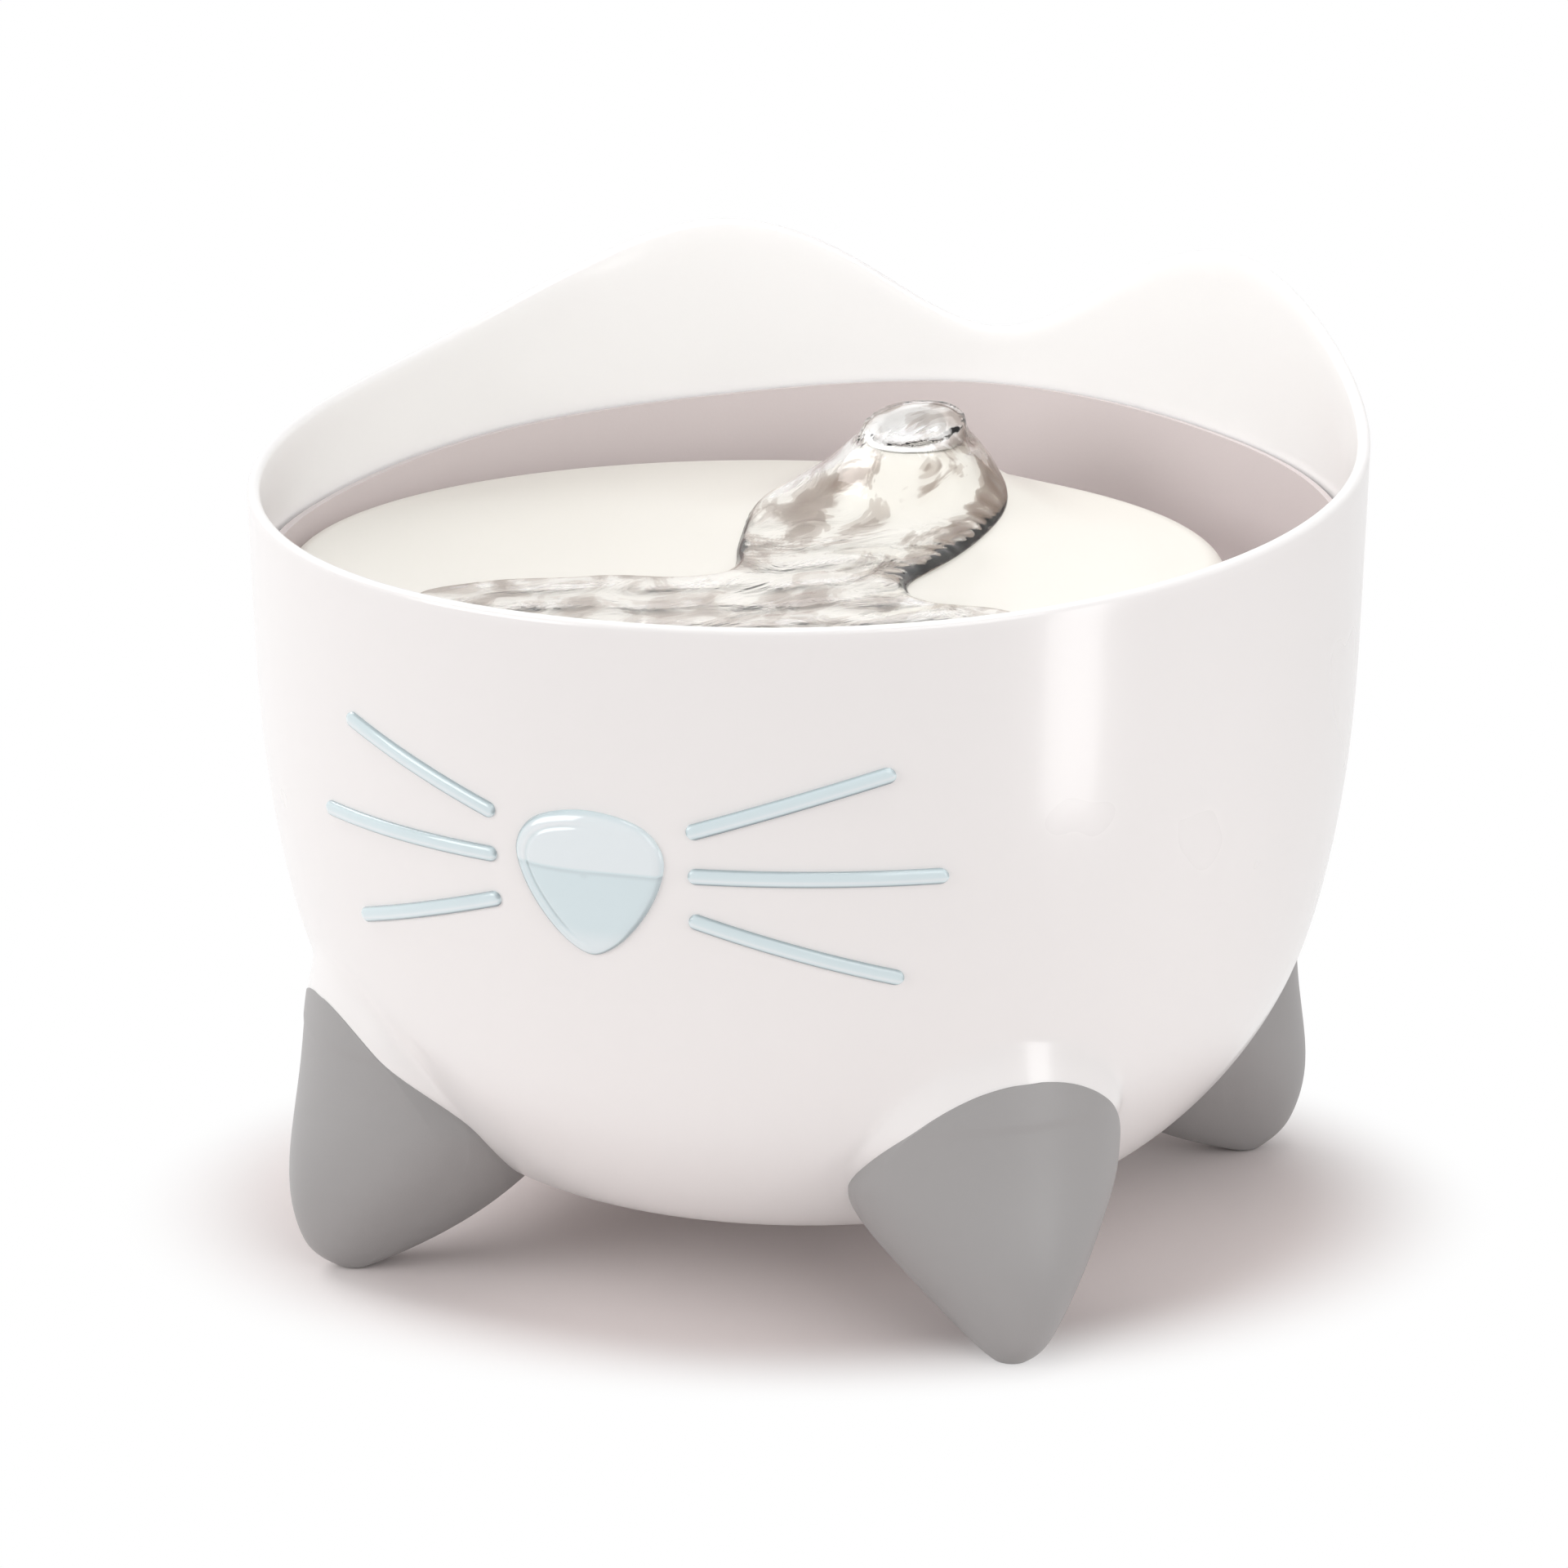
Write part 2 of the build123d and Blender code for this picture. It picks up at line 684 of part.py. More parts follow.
# ---- stator: laminated core and its coil ----
with BuildPart() as stator_core:
    with BuildSketch(back_plane(core_front, 0)):
        with Locations((0, -core_low)):
            Rectangle(2 * core_half, core_high - core_low, align=(Align.CENTER, Align.MAX))
        with Locations((0, -pump_z)):
            Circle(well_out_r + core_play, mode=Mode.SUBTRACT)
        with Locations((0, -yoke_top)):
            Rectangle(*core_window, align=(Align.CENTER, Align.MAX), mode=Mode.SUBTRACT)
    extrude(amount=core_back - core_front)
save(stator_core, "stator_core")

with BuildPart() as stator_coil:
    with Locations((0, (core_front + core_back) / 2, (core_low + yoke_top) / 2)):
        Box(coil_size[0], core_back - core_front + coil_size[1], coil_size[2])
        Box(coil_window, core_back - core_front, yoke_top - core_low, mode=Mode.SUBTRACT)
save(stator_coil, "stator_coil")

with BuildPart() as potting_resin:
    with BuildSketch(back_plane(potting_front, (pump_low + pump_high) / 2)):
        RectangleRounded(2 * (pump_half - pump_wall), pump_high - pump_low - 2 * pump_wall,
                         pump_inner_corner)
    extrude(amount=potting_back - potting_front)
    with BuildSketch(back_plane(well_end, pump_z)):
        Circle(well_out_r)
    extrude(amount=potting_back - well_end, mode=Mode.SUBTRACT)
    add(stator_core.part, mode=Mode.SUBTRACT)
    add(stator_coil.part, mode=Mode.SUBTRACT)
save(potting_resin, "potting_resin")

# ---- rotor: shaft and bushes, magnet, impeller wheel ----
with BuildPart() as rear_bush:
    with BuildSketch(back_plane(well_end + well_floor, pump_z)):
        Circle(bush_r)
        Circle(shaft_r, mode=Mode.SUBTRACT)
    extrude(amount=bush_long)
save(rear_bush, "rear_bush")

with BuildPart() as impeller_shaft:
    with BuildSketch(back_plane(well_end + well_floor, pump_z)):
        Circle(shaft_r)
    extrude(amount=cover_back - well_end - well_floor - bush_long)
save(impeller_shaft, "impeller_shaft")

with BuildPart() as rotor_magnet:
    with BuildSketch(back_plane(magnet_front, pump_z)):
        Circle(magnet_r)
        Circle(hub_r, mode=Mode.SUBTRACT)
    extrude(amount=magnet_back - magnet_front)
save(rotor_magnet, "rotor_magnet")

with BuildPart() as impeller_wheel:
    with BuildSketch(back_plane(magnet_front, pump_z)):
        Circle(hub_r)
    extrude(amount=wheel_face - magnet_front)
    with BuildSketch(back_plane(magnet_back, pump_z)):
        Circle(hub_skirt_r)
    extrude(amount=wheel_face - magnet_back)
    with BuildSketch(back_plane(wheel_face, pump_z)):
        Circle(wheel_r)
    extrude(amount=wheel_thick)
    with BuildSketch(back_plane(wheel_face + wheel_thick, pump_z)):
        with PolarLocations(0, blade_count):
            with Locations((blade_start, 0)):
                Rectangle(wheel_r - blade_start - blade_end_gap, blade_thick,
                          align=(Align.MIN, Align.CENTER))
        Circle(hub_r)
    extrude(amount=blade_back - wheel_face - wheel_thick)
    with BuildSketch(back_plane(magnet_front, pump_z)):
        Circle(shaft_r + shaft_gap)
    extrude(amount=past, mode=Mode.SUBTRACT)
save(impeller_wheel, "impeller_wheel")

# ---- pump cover with its bush and intake foam ----
with BuildPart() as pump_cover:
    with BuildSketch(back_plane(cover_face, pump_z)):
        Circle(cover_r)
        with PolarLocations(*cover_slots):
            SlotOverall(*cover_slot_size, mode=Mode.SUBTRACT)
    extrude(amount=cover_back - cover_face)
    with BuildSketch(back_plane(cover_face, pump_z)):
        Circle(chamber_r - cover_lip[0])
        Circle(chamber_r - cover_lip[1], mode=Mode.SUBTRACT)
        Circle(cover_boss_r)
    extrude(amount=-cover_lip[2])
    with BuildSketch(back_plane(cover_face - cover_lip[2], pump_z)):
        Circle(front_bush_r)
    extrude(amount=front_bush_long, mode=Mode.SUBTRACT)
save(pump_cover, "pump_cover")

with BuildPart() as front_bush:
    with BuildSketch(back_plane(cover_face - cover_lip[2], pump_z)):
        Circle(front_bush_r)
        Circle(shaft_r + shaft_gap, mode=Mode.SUBTRACT)
    extrude(amount=front_bush_long)
save(front_bush, "front_bush")

with BuildPart() as intake_foam:
    with BuildSketch(back_plane(cover_back, pump_z)):
        Circle(foam_r)
    extrude(amount=foam_back - cover_back)
    fillet(intake_foam.faces().sort_by(Axis.Y)[-1].edges(), radius=foam_round)
save(intake_foam, "intake_foam")

# ---- riser and spout ----
flange_low = mound_top[1] + flange_lift
with BuildPart() as riser_tube:
    with BuildSketch(Plane.XY.offset(riser_low)):
        with Locations((0, spout_y)):
            Circle(riser_r)
            Circle(riser_bore, mode=Mode.SUBTRACT)
    extrude(amount=riser_top - riser_low)
save(riser_tube, "riser_tube")

with BuildPart() as spout_nozzle:
    with BuildSketch(Plane.XZ.offset(-spout_y)):
        with BuildLine():
            inner_lip, outer_lip = nozzle_bore + mouth_round, nozzle_flange_r - flange_round
            Polyline((nozzle_bore, socket_top), (nozzle_bore, nozzle_top - mouth_round))
            RadiusArc((nozzle_bore, nozzle_top - mouth_round), (inner_lip, nozzle_top), mouth_round)
            Polyline((inner_lip, nozzle_top), (outer_lip, nozzle_top))
            RadiusArc((outer_lip, nozzle_top), (nozzle_flange_r, nozzle_top - flange_round), flange_round)
            Polyline(
                (nozzle_flange_r, nozzle_top - flange_round), (nozzle_flange_r, flange_low),
                (nozzle_r, flange_low), (nozzle_r, nozzle_low),
                (riser_r + slide_gap, nozzle_low), (riser_r + slide_gap, ring_low),
                (ring_out, ring_low), (ring_out, ring_high), (riser_r + slide_gap, ring_high),
                (riser_r + slide_gap, socket_top), (nozzle_bore, socket_top),
            )
        make_face()
    revolve(axis=Axis((0, spout_y, 0), (0, 0, 1)))
save(spout_nozzle, "spout_nozzle")

with BuildPart() as nozzle_seal:
    with BuildSketch(Plane.XY.offset(ring_low)):
        with Locations((0, spout_y)):
            Circle(ring_out)
            Circle(riser_r + slide_gap, mode=Mode.SUBTRACT)
    extrude(amount=ring_high - ring_low)
save(nozzle_seal, "nozzle_seal")

# ---- drinking dish: a shallow plate with a rolled edge and a hollow mound under the spout ----
dish_axis = Axis((dish_x, dish_y, 0), (0, 0, 1))
dish_plane = Plane((dish_x, dish_y, 0), x_dir=(1, 0, 0), z_dir=(0, -1, 0))
mound_plane = Plane((0, spout_y, 0), x_dir=(1, 0, 0), z_dir=(0, -1, 0))


def mound_profile(sunk):
    """The mound's flank, moved inwards by sunk for its underside."""
    foot = (mound_foot_r + mound_skirt, dish_centre_z + mound_foot_rise - sunk)
    middle = (mound_mid[0] - mound_slant[0] * sunk, mound_mid[1] - sunk)
    return foot, middle, (mound_top[0] - mound_slant[1] * sunk, mound_top[1] - sunk)


mounds = []
for sunk in (0.0, dish_shell):
    with BuildPart() as mound:
        with BuildSketch(mound_plane):
            with BuildLine():
                flank = Spline(*mound_profile(sunk))
                Polyline(flank @ 1, (0, (flank @ 1).Y), (0, mound_floor), ((flank @ 0).X, mound_floor),
                         flank @ 0)
            make_face()
        revolve(axis=Axis((0, spout_y, 0), (0, 0, 1)))
    with BuildPart() as trimmer:
        with BuildSketch(dish_plane):
            with BuildLine():
                outer_r = dish_r - sunk
                roll = RadiusArc((outer_r - mound_roll, dish_crown_z + mound_rise - sunk),
                                 (outer_r, dish_crown_z + mound_rise - mound_roll - sunk), mound_roll)
                Polyline(roll @ 1, (outer_r, dish_low), (0, dish_low), (0, mound_roof),
                         (outer_r - mound_roll, mound_roof), roll @ 0)
            make_face()
        revolve(axis=dish_axis)
    with BuildPart() as trimmed:
        add(mound.part)
        add(trimmer.part, mode=Mode.INTERSECT)
    mounds.append(trimmed.part)

with BuildPart() as drinking_dish:
    with BuildSketch(dish_plane):
        with BuildLine():
            crown = (dish_r - dish_round, dish_crown_z)
            top_line = Spline((0, dish_centre_z), (dish_knee[0], dish_centre_z + dish_knee[1]), crown,
                              tangents=[(1, 0), (1, 0.02)])
            edge = RadiusArc(crown, (dish_r, dish_crown_z - dish_round), dish_round)
            Polyline(edge @ 1, (dish_r, dish_low), (0, dish_low), (0, dish_centre_z))
        make_face()
    revolve(axis=dish_axis)
    add(mounds[0])
    with BuildSketch(dish_plane):
        with BuildLine():
            Polyline((0, dish_low), (dish_r - dish_shell, dish_low),
                     (dish_r - dish_shell, dish_crown_z - dish_round),
                     (dish_r - dish_round, dish_crown_z - dish_shell - dish_corner),
                     (0, dish_centre_z - dish_shell), close=True)
        make_face()
    revolve(axis=dish_axis, mode=Mode.SUBTRACT)
    add(mounds[1], mode=Mode.SUBTRACT)
    # collar under the mound that the nozzle is pushed into
    with BuildSketch(Plane.XY.offset(mound_top[1] - dish_shell - mound_collar_low)):
        with Locations((0, spout_y)):
            Circle(mound_top[0])
    extrude(amount=mound_collar_tall)
    with BuildSketch(Plane.XY.offset(dish_low)):
        with Locations((0, spout_y)):
            Circle(nozzle_r + nozzle_gap)
    extrude(amount=past, mode=Mode.SUBTRACT)
save(drinking_dish, "drinking_dish")

# ---- tray: collar against the bowl wall, drain floor, skirt for the filter, posts for the dish ----
with BuildPart() as upper_tray:
    with BuildSketch(Plane.XZ):
        with BuildLine():
            Polyline(
                (0, tray_low), (collar_low_r, tray_low), (collar_high_r, collar_cut),
                (collar_inner_high, collar_cut), (collar_inner_low, tray_floor), (0, tray_floor),
                close=True,
            )
        make_face()
    revolve(axis=Axis.Z)
    add(above_ledge, mode=Mode.SUBTRACT)
    # skirt that the filter casing slides up into
    with BuildSketch(Plane.XY.offset(skirt_low)):
        with Locations((filter_x, filter_y)):
            Circle(filter_r + skirt_gap + skirt_wall)
            Circle(filter_r + skirt_gap, mode=Mode.SUBTRACT)
    extrude(amount=tray_low - skirt_low)
    # drain grille over the filter
    with BuildSketch(Plane.XY.offset(tray_low)):
        for ring in grille_rings:
            with Locations((filter_x, filter_y)):
                with PolarLocations(ring, round(ring * grille_density)):
                    Circle(grille_hole_r)
    extrude(amount=tray_floor - tray_low, mode=Mode.SUBTRACT)
    with BuildSketch(Plane.XY.offset(tray_low)):
        with Locations((0, spout_y)):
            Circle(riser_r + riser_room)
    extrude(amount=tray_floor - tray_low, mode=Mode.SUBTRACT)
    with BuildSketch(Plane.XY.offset(tray_floor)):
        with Locations((dish_x, dish_y)):
            with PolarLocations(post_ring, post_count, start_angle=post_start):
                Circle(post_r)
    extrude(amount=post_top - tray_floor)
save(upper_tray, "upper_tray")

# ---- filter: casing with a slotted bottom, three layers and a lid ----
with BuildPart() as filter_casing:
    with BuildSketch(Plane.XY.offset(casing_low)):
        with Locations((filter_x, filter_y)):
            Circle(filter_r)
    extrude(amount=casing_high - casing_low)
    with BuildSketch(Plane.XY.offset(casing_low)):
        with Locations((filter_x, filter_y)):
            Circle(casing_flange_r)
    extrude(amount=casing_flange_top - casing_low)
    with BuildSketch(Plane.XY.offset(casing_low + casing_wall)):
        with Locations((filter_x, filter_y)):
            Circle(filter_r - casing_wall)
    extrude(amount=past, mode=Mode.SUBTRACT)
    with BuildSketch(Plane.XY.offset(casing_low)):
        for ring in casing_rings:
            with Locations((filter_x, filter_y)):
                with PolarLocations(ring, round(ring * filter_hole_density)):
                    Circle(filter_hole_r)
    extrude(amount=casing_wall, mode=Mode.SUBTRACT)
save(filter_casing, "filter_casing")

for name, (low, high) in media.items():
    with BuildPart() as layer:
        with BuildSketch(Plane.XY.offset(low)):
            with Locations((filter_x, filter_y)):
                Circle(filter_r - casing_wall - media_play)
        extrude(amount=high - low)
    save(layer, name)

with BuildPart() as filter_lid:
    with BuildSketch(Plane.XY.offset(lid_low)):
        with Locations((filter_x, filter_y)):
            Circle(filter_r - casing_wall - lid_play)
            for ring in lid_rings:
                with PolarLocations(ring, round(ring * filter_hole_density)):
                    Circle(filter_hole_r, mode=Mode.SUBTRACT)
    extrude(amount=lid_high - lid_low)
save(filter_lid, "filter_lid")
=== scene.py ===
import bpy
import json
import math
import numpy as np
from mathutils import Matrix, Vector


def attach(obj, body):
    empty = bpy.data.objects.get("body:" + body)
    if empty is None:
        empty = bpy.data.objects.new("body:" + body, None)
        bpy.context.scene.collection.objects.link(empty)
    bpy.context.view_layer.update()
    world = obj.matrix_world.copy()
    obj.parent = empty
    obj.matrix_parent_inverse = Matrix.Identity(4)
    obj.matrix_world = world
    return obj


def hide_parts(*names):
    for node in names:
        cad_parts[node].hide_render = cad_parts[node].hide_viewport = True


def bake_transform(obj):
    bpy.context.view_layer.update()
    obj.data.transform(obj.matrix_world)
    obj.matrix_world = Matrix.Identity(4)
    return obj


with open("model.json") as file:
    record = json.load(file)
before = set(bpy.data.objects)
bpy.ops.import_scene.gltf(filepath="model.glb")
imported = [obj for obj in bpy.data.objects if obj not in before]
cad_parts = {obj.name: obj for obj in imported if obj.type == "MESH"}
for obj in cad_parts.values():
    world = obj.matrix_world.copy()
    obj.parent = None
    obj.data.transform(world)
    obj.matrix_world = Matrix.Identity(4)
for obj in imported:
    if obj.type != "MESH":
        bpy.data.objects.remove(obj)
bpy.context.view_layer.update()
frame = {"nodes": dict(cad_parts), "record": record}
mm = 0.001

# Camera: a long lens a little above the rim, round to the right of the face.
cameraPlan = {
    "place": (0.36566, -0.92252, 0.35735),
    "right": (0.92802, 0.37254, 0.0),
    "up": (-0.09915, 0.24698, 0.96393),
    "lens": 124.47,
}
cameraData = bpy.data.cameras.new("camera")
cameraData.lens = cameraPlan["lens"]
cameraData.sensor_width = 36.0
cameraObject = bpy.data.objects.new("camera", cameraData)
bpy.context.scene.collection.objects.link(cameraObject)
sideways = Vector(cameraPlan["right"]).normalized()
backwards = sideways.cross(Vector(cameraPlan["up"])).normalized()
turned = Matrix((sideways, backwards.cross(sideways), backwards)).transposed()
cameraObject.matrix_world = Matrix.Translation(cameraPlan["place"]) @ turned.to_4x4()
bpy.context.scene.camera = cameraObject
bpy.context.scene.view_settings.view_transform = "Standard"


# A cubic through every knot: slope and bend agree where two stretches meet. With loop set, the
# last stretch runs on into the first.
def smoothThrough(knots, values, at, loop=None):
    x = np.asarray(knots, float)
    y = np.asarray(values, float).reshape(len(x), -1)
    at = np.asarray(at, float)
    if loop:
        at = x[0] + np.mod(at - x[0], loop)
        x = np.concatenate([x - loop, x, x + loop])
        y = np.concatenate([y, y, y])
    gap = np.diff(x)
    slope = np.diff(y, axis=0) / gap[:, None]
    system = np.eye(len(x))
    inner = np.arange(1, len(x) - 1)
    system[inner, inner - 1] = gap[:-1]
    system[inner, inner] = 2 * (gap[:-1] + gap[1:])
    system[inner, inner + 1] = gap[1:]
    pull = np.zeros_like(y)
    pull[1:-1] = 6 * np.diff(slope, axis=0)
    bend = np.linalg.solve(system, pull)
    i = np.clip(np.searchsorted(x, at, side="right") - 1, 0, len(x) - 2)
    t = (at - x[i])[..., None]
    h = gap[i][..., None]
    found = y[i] + t * (slope[i] - h * (2 * bend[i] + bend[i + 1]) / 6)
    found = found + t**2 * bend[i] / 2 + t**3 * (bend[i + 1] - bend[i]) / (6 * h)
    return found[..., 0] if y.shape[1] == 1 else found


# 0 below low, 1 above high, and an S-shaped rise between them.
def easeIn(low, high, at):
    t = np.clip((at - low) / (high - low), 0, 1)
    return t * t * (3 - 2 * t)


# The larger of two heights, with a round fillet about reach wide where they cross.
def filletMax(a, b, reach):
    return (a + b + np.sqrt((a - b) ** 2 + reach**2)) / 2


# How far along a line of points each point lies.
def lengthAlong(points):
    steps = np.linalg.norm(np.diff(points, axis=0), axis=1)
    return np.concatenate([[0], np.cumsum(steps)])


# Evenly spaced points on the smooth closed line through an outline. With closed set, the last
# repeats the first.
def roundOutline(outline, count, closed=False):
    along = lengthAlong(np.concatenate([outline, outline[:1]]))
    spots = np.linspace(0, along[-1], count, endpoint=closed)
    return smoothThrough(along[:-1], outline, spots, loop=along[-1])


# 1 in the middle, falling off like a bell on both sides.
def bell(at, width):
    return np.exp(-((at / width) ** 2))


# Rows of points in mm become a closed skin. Each row runs round; the rows join up in a ring, or
# end in a middle point at both ends. The faces are turned so that the skin holds a positive volume.
def closedSkin(name, rows, ends=None):
    count, across = rows.shape[:2]
    here = np.arange(count * across).reshape(count, across)
    beside = np.roll(here, -1, axis=1)
    points = rows.reshape(-1, 3)
    if ends is None:
        below, belowBeside = np.roll(here, -1, axis=0), np.roll(beside, -1, axis=0)
        quads = np.stack([here, beside, belowBeside, below], -1).reshape(-1, 4)
        fans = np.zeros((0, 3), int)
    else:
        quads = np.stack([here[:-1], beside[:-1], beside[1:], here[1:]], -1).reshape(-1, 4)
        first = np.full(across, len(points))
        fans = np.concatenate([
            np.stack([first, beside[0], here[0]], -1),
            np.stack([first + 1, here[-1], beside[-1]], -1),
        ])
        points = np.concatenate([points, ends])
    corners = np.concatenate([quads[:, [0, 1, 2]], quads[:, [0, 2, 3]], fans])
    a, b, c = (points[corners[:, k]] for k in range(3))
    if np.einsum("ij,ij->", a, np.cross(b, c)) < 0:
        quads, fans = quads[:, ::-1], fans[:, ::-1]
    sizes = np.concatenate([np.full(len(quads), 4), np.full(len(fans), 3)])
    mesh = bpy.data.meshes.new(name)
    mesh.vertices.add(len(points))
    mesh.vertices.foreach_set("co", (points * mm).ravel())
    mesh.loops.add(int(sizes.sum()))
    mesh.loops.foreach_set("vertex_index", np.concatenate([quads.ravel(), fans.ravel()]))
    mesh.polygons.add(len(sizes))
    mesh.polygons.foreach_set("loop_start", np.concatenate([[0], np.cumsum(sizes)[:-1]]))
    mesh.polygons.foreach_set("use_smooth", np.ones(len(sizes), bool))
    mesh.update(calc_edges=True)
    mesh.validate()
    piece = bpy.data.objects.new(name, mesh)
    bpy.context.scene.collection.objects.link(piece)
    return piece


# Every point of a piece gets its own value, which its finish reads.
def paintPoints(piece, name, values):
    stored = piece.data.attributes.new(name, "FLOAT", "POINT")
    stored.data.foreach_set("value", values.astype(np.float32))


# A finished piece gets its finish, rides its body and stands for its solids.
def dress(piece, body, finish, *nodes):
    piece.data.materials.append(finishes[finish])
    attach(piece, body)
    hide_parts(*nodes)


socketKinds = {"Color": "Color", "Roughness": "Float", "Normal": "Vector"}


# A group of shader nodes. An input's kind follows from its value: a number, three or a colour.
def newGroup(name, inputs, *outputs):
    group = bpy.data.node_groups.new(name, "ShaderNodeTree")
    for label, value in inputs.items():
        kind = "Float" if isinstance(value, float) else {3: "Vector", 4: "Color"}[len(value)]
        socket = group.interface.new_socket(name=label, in_out="INPUT", socket_type="NodeSocket" + kind)
        socket.default_value = value
    for label in outputs:
        kind = "NodeSocket" + socketKinds[label]
        group.interface.new_socket(name=label, in_out="OUTPUT", socket_type=kind)
    return group, group.nodes.new("NodeGroupInput").outputs, group.nodes.new("NodeGroupOutput").inputs


def addNode(tree, kind, links=(), **settings):
    node = tree.nodes.new(kind)
    for key, value in settings.items():
        setattr(node, key, value)
    for socket, value in dict(links).items():
        target = node.inputs[socket]
        if isinstance(value, bpy.types.NodeSocket):
            tree.links.new(value, target)
        else:
            target.default_value = value
    return node


# Short forms of the nodes used most, each giving its node's result.
def mathOf(tree, operation, *values, clamp=False):
    node = addNode(tree, "ShaderNodeMath", dict(enumerate(values)), operation=operation, use_clamp=clamp)
    return node.outputs[0]


def mixOf(tree, share, first, second):
    return addNode(tree, "ShaderNodeMix", {0: share, 6: first, 7: second}, data_type="RGBA").outputs[2]


def bumpOf(tree, height, strength, distance):
    node = addNode(tree, "ShaderNodeBump", {"Height": height, "Strength": strength, "Distance": distance})
    return node.outputs[0]


def ownPlace(tree):
    return addNode(tree, "ShaderNodeTexCoord").outputs["Object"]


def giveOut(group, end, results):
    for label, socket in results.items():
        group.links.new(socket, end[label])


# Moulded skin: a fine grain lifts the surface, and a slow cloud shifts its gloss and its shade.
def makeMouldedSkin():
    group, given, end = newGroup(
        "mouldedSkin",
        {"Color": (0.8, 0.8, 0.8, 1), "Shade": 0.02, "Roughness": 0.3, "Spread": 0.05,
         "Grain Size": 1500.0, "Grain Height": 0.1},
        "Color", "Roughness", "Normal",
    )
    place = ownPlace(group)
    cloud = addNode(group, "ShaderNodeTexNoise", {"Vector": place, "Scale": 14.0, "Detail": 3.0})
    centred = mathOf(group, "SUBTRACT", cloud.outputs["Fac"], 0.5)
    shade = mathOf(group, "MULTIPLY_ADD", centred, given["Shade"], 1.0)
    tint = addNode(group, "ShaderNodeVectorMath", {0: given["Color"], "Scale": shade}, operation="SCALE")
    rough = mathOf(group, "MULTIPLY_ADD", centred, given["Spread"], given["Roughness"], clamp=True)
    grain = addNode(group, "ShaderNodeTexNoise",
                    {"Vector": place, "Scale": given["Grain Size"], "Detail": 2.0})
    lift = bumpOf(group, grain.outputs["Fac"], given["Grain Height"], 0.0002)
    giveOut(group, end, {"Color": tint.outputs[0], "Roughness": rough, "Normal": lift})
    return group


# Brushed metal: a noise drawn out along one direction gives streaks in gloss and height.
def makeBrushedStreaks():
    group, given, end = newGroup(
        "brushedStreaks", {"Stretch": (30.0, 30.0, 900.0), "Roughness": 0.3, "Spread": 0.2},
        "Roughness", "Normal",
    )
    drawn = addNode(group, "ShaderNodeVectorMath", {0: ownPlace(group), 1: given["Stretch"]},
                    operation="MULTIPLY").outputs[0]
    streak = addNode(group, "ShaderNodeTexNoise",
                     {"Vector": drawn, "Scale": 1.0, "Detail": 4.0}).outputs["Fac"]
    rough = mathOf(group, "MULTIPLY_ADD", streak, given["Spread"], given["Roughness"])
    giveOut(group, end, {"Roughness": rough, "Normal": bumpOf(group, streak, 0.15, 0.0002)})
    return group


# Open cells or grains: the distance to scattered centres makes pits that sink, and their darker colour is
# painted shade in the pits.
def makeOpenCells():
    group, given, end = newGroup(
        "openCells",
        {"Color": (0.5, 0.5, 0.5, 1), "Pit Color": (0.1, 0.1, 0.1, 1), "Cell Size": 700.0, "Depth": 0.8},
        "Color", "Normal",
    )
    cells = addNode(group, "ShaderNodeTexVoronoi", {"Vector": ownPlace(group), "Scale": given["Cell Size"]})
    mask = addNode(group, "ShaderNodeMapRange", {"Value": cells.outputs["Distance"], "From Min": 0.1,
                   "From Max": 0.6}).outputs[0]
    giveOut(group, end, {"Color": mixOf(group, mask, given["Pit Color"], given["Color"]),
                         "Normal": bumpOf(group, mask, given["Depth"], 0.0006)})
    return group


mouldedSkin = makeMouldedSkin()
brushedStreaks = makeBrushedStreaks()
openCells = makeOpenCells()


# One finish for each material slot: a shader with a group's results led into it.
def newFinish(name, group, values, shaderValues):
    finish = bpy.data.materials.new(name)
    finish.use_nodes = True
    tree = finish.node_tree
    shader = tree.nodes["Principled BSDF"]
    for socket, value in shaderValues.items():
        shader.inputs[socket].default_value = value
    used = addNode(tree, "ShaderNodeGroup", node_tree=group)
    for socket, value in values.items():
        used.inputs[socket].default_value = value
    for result in used.outputs:
        target = "Base Color" if result.name == "Color" else result.name
        tree.links.new(result, shader.inputs[target])
    return finish


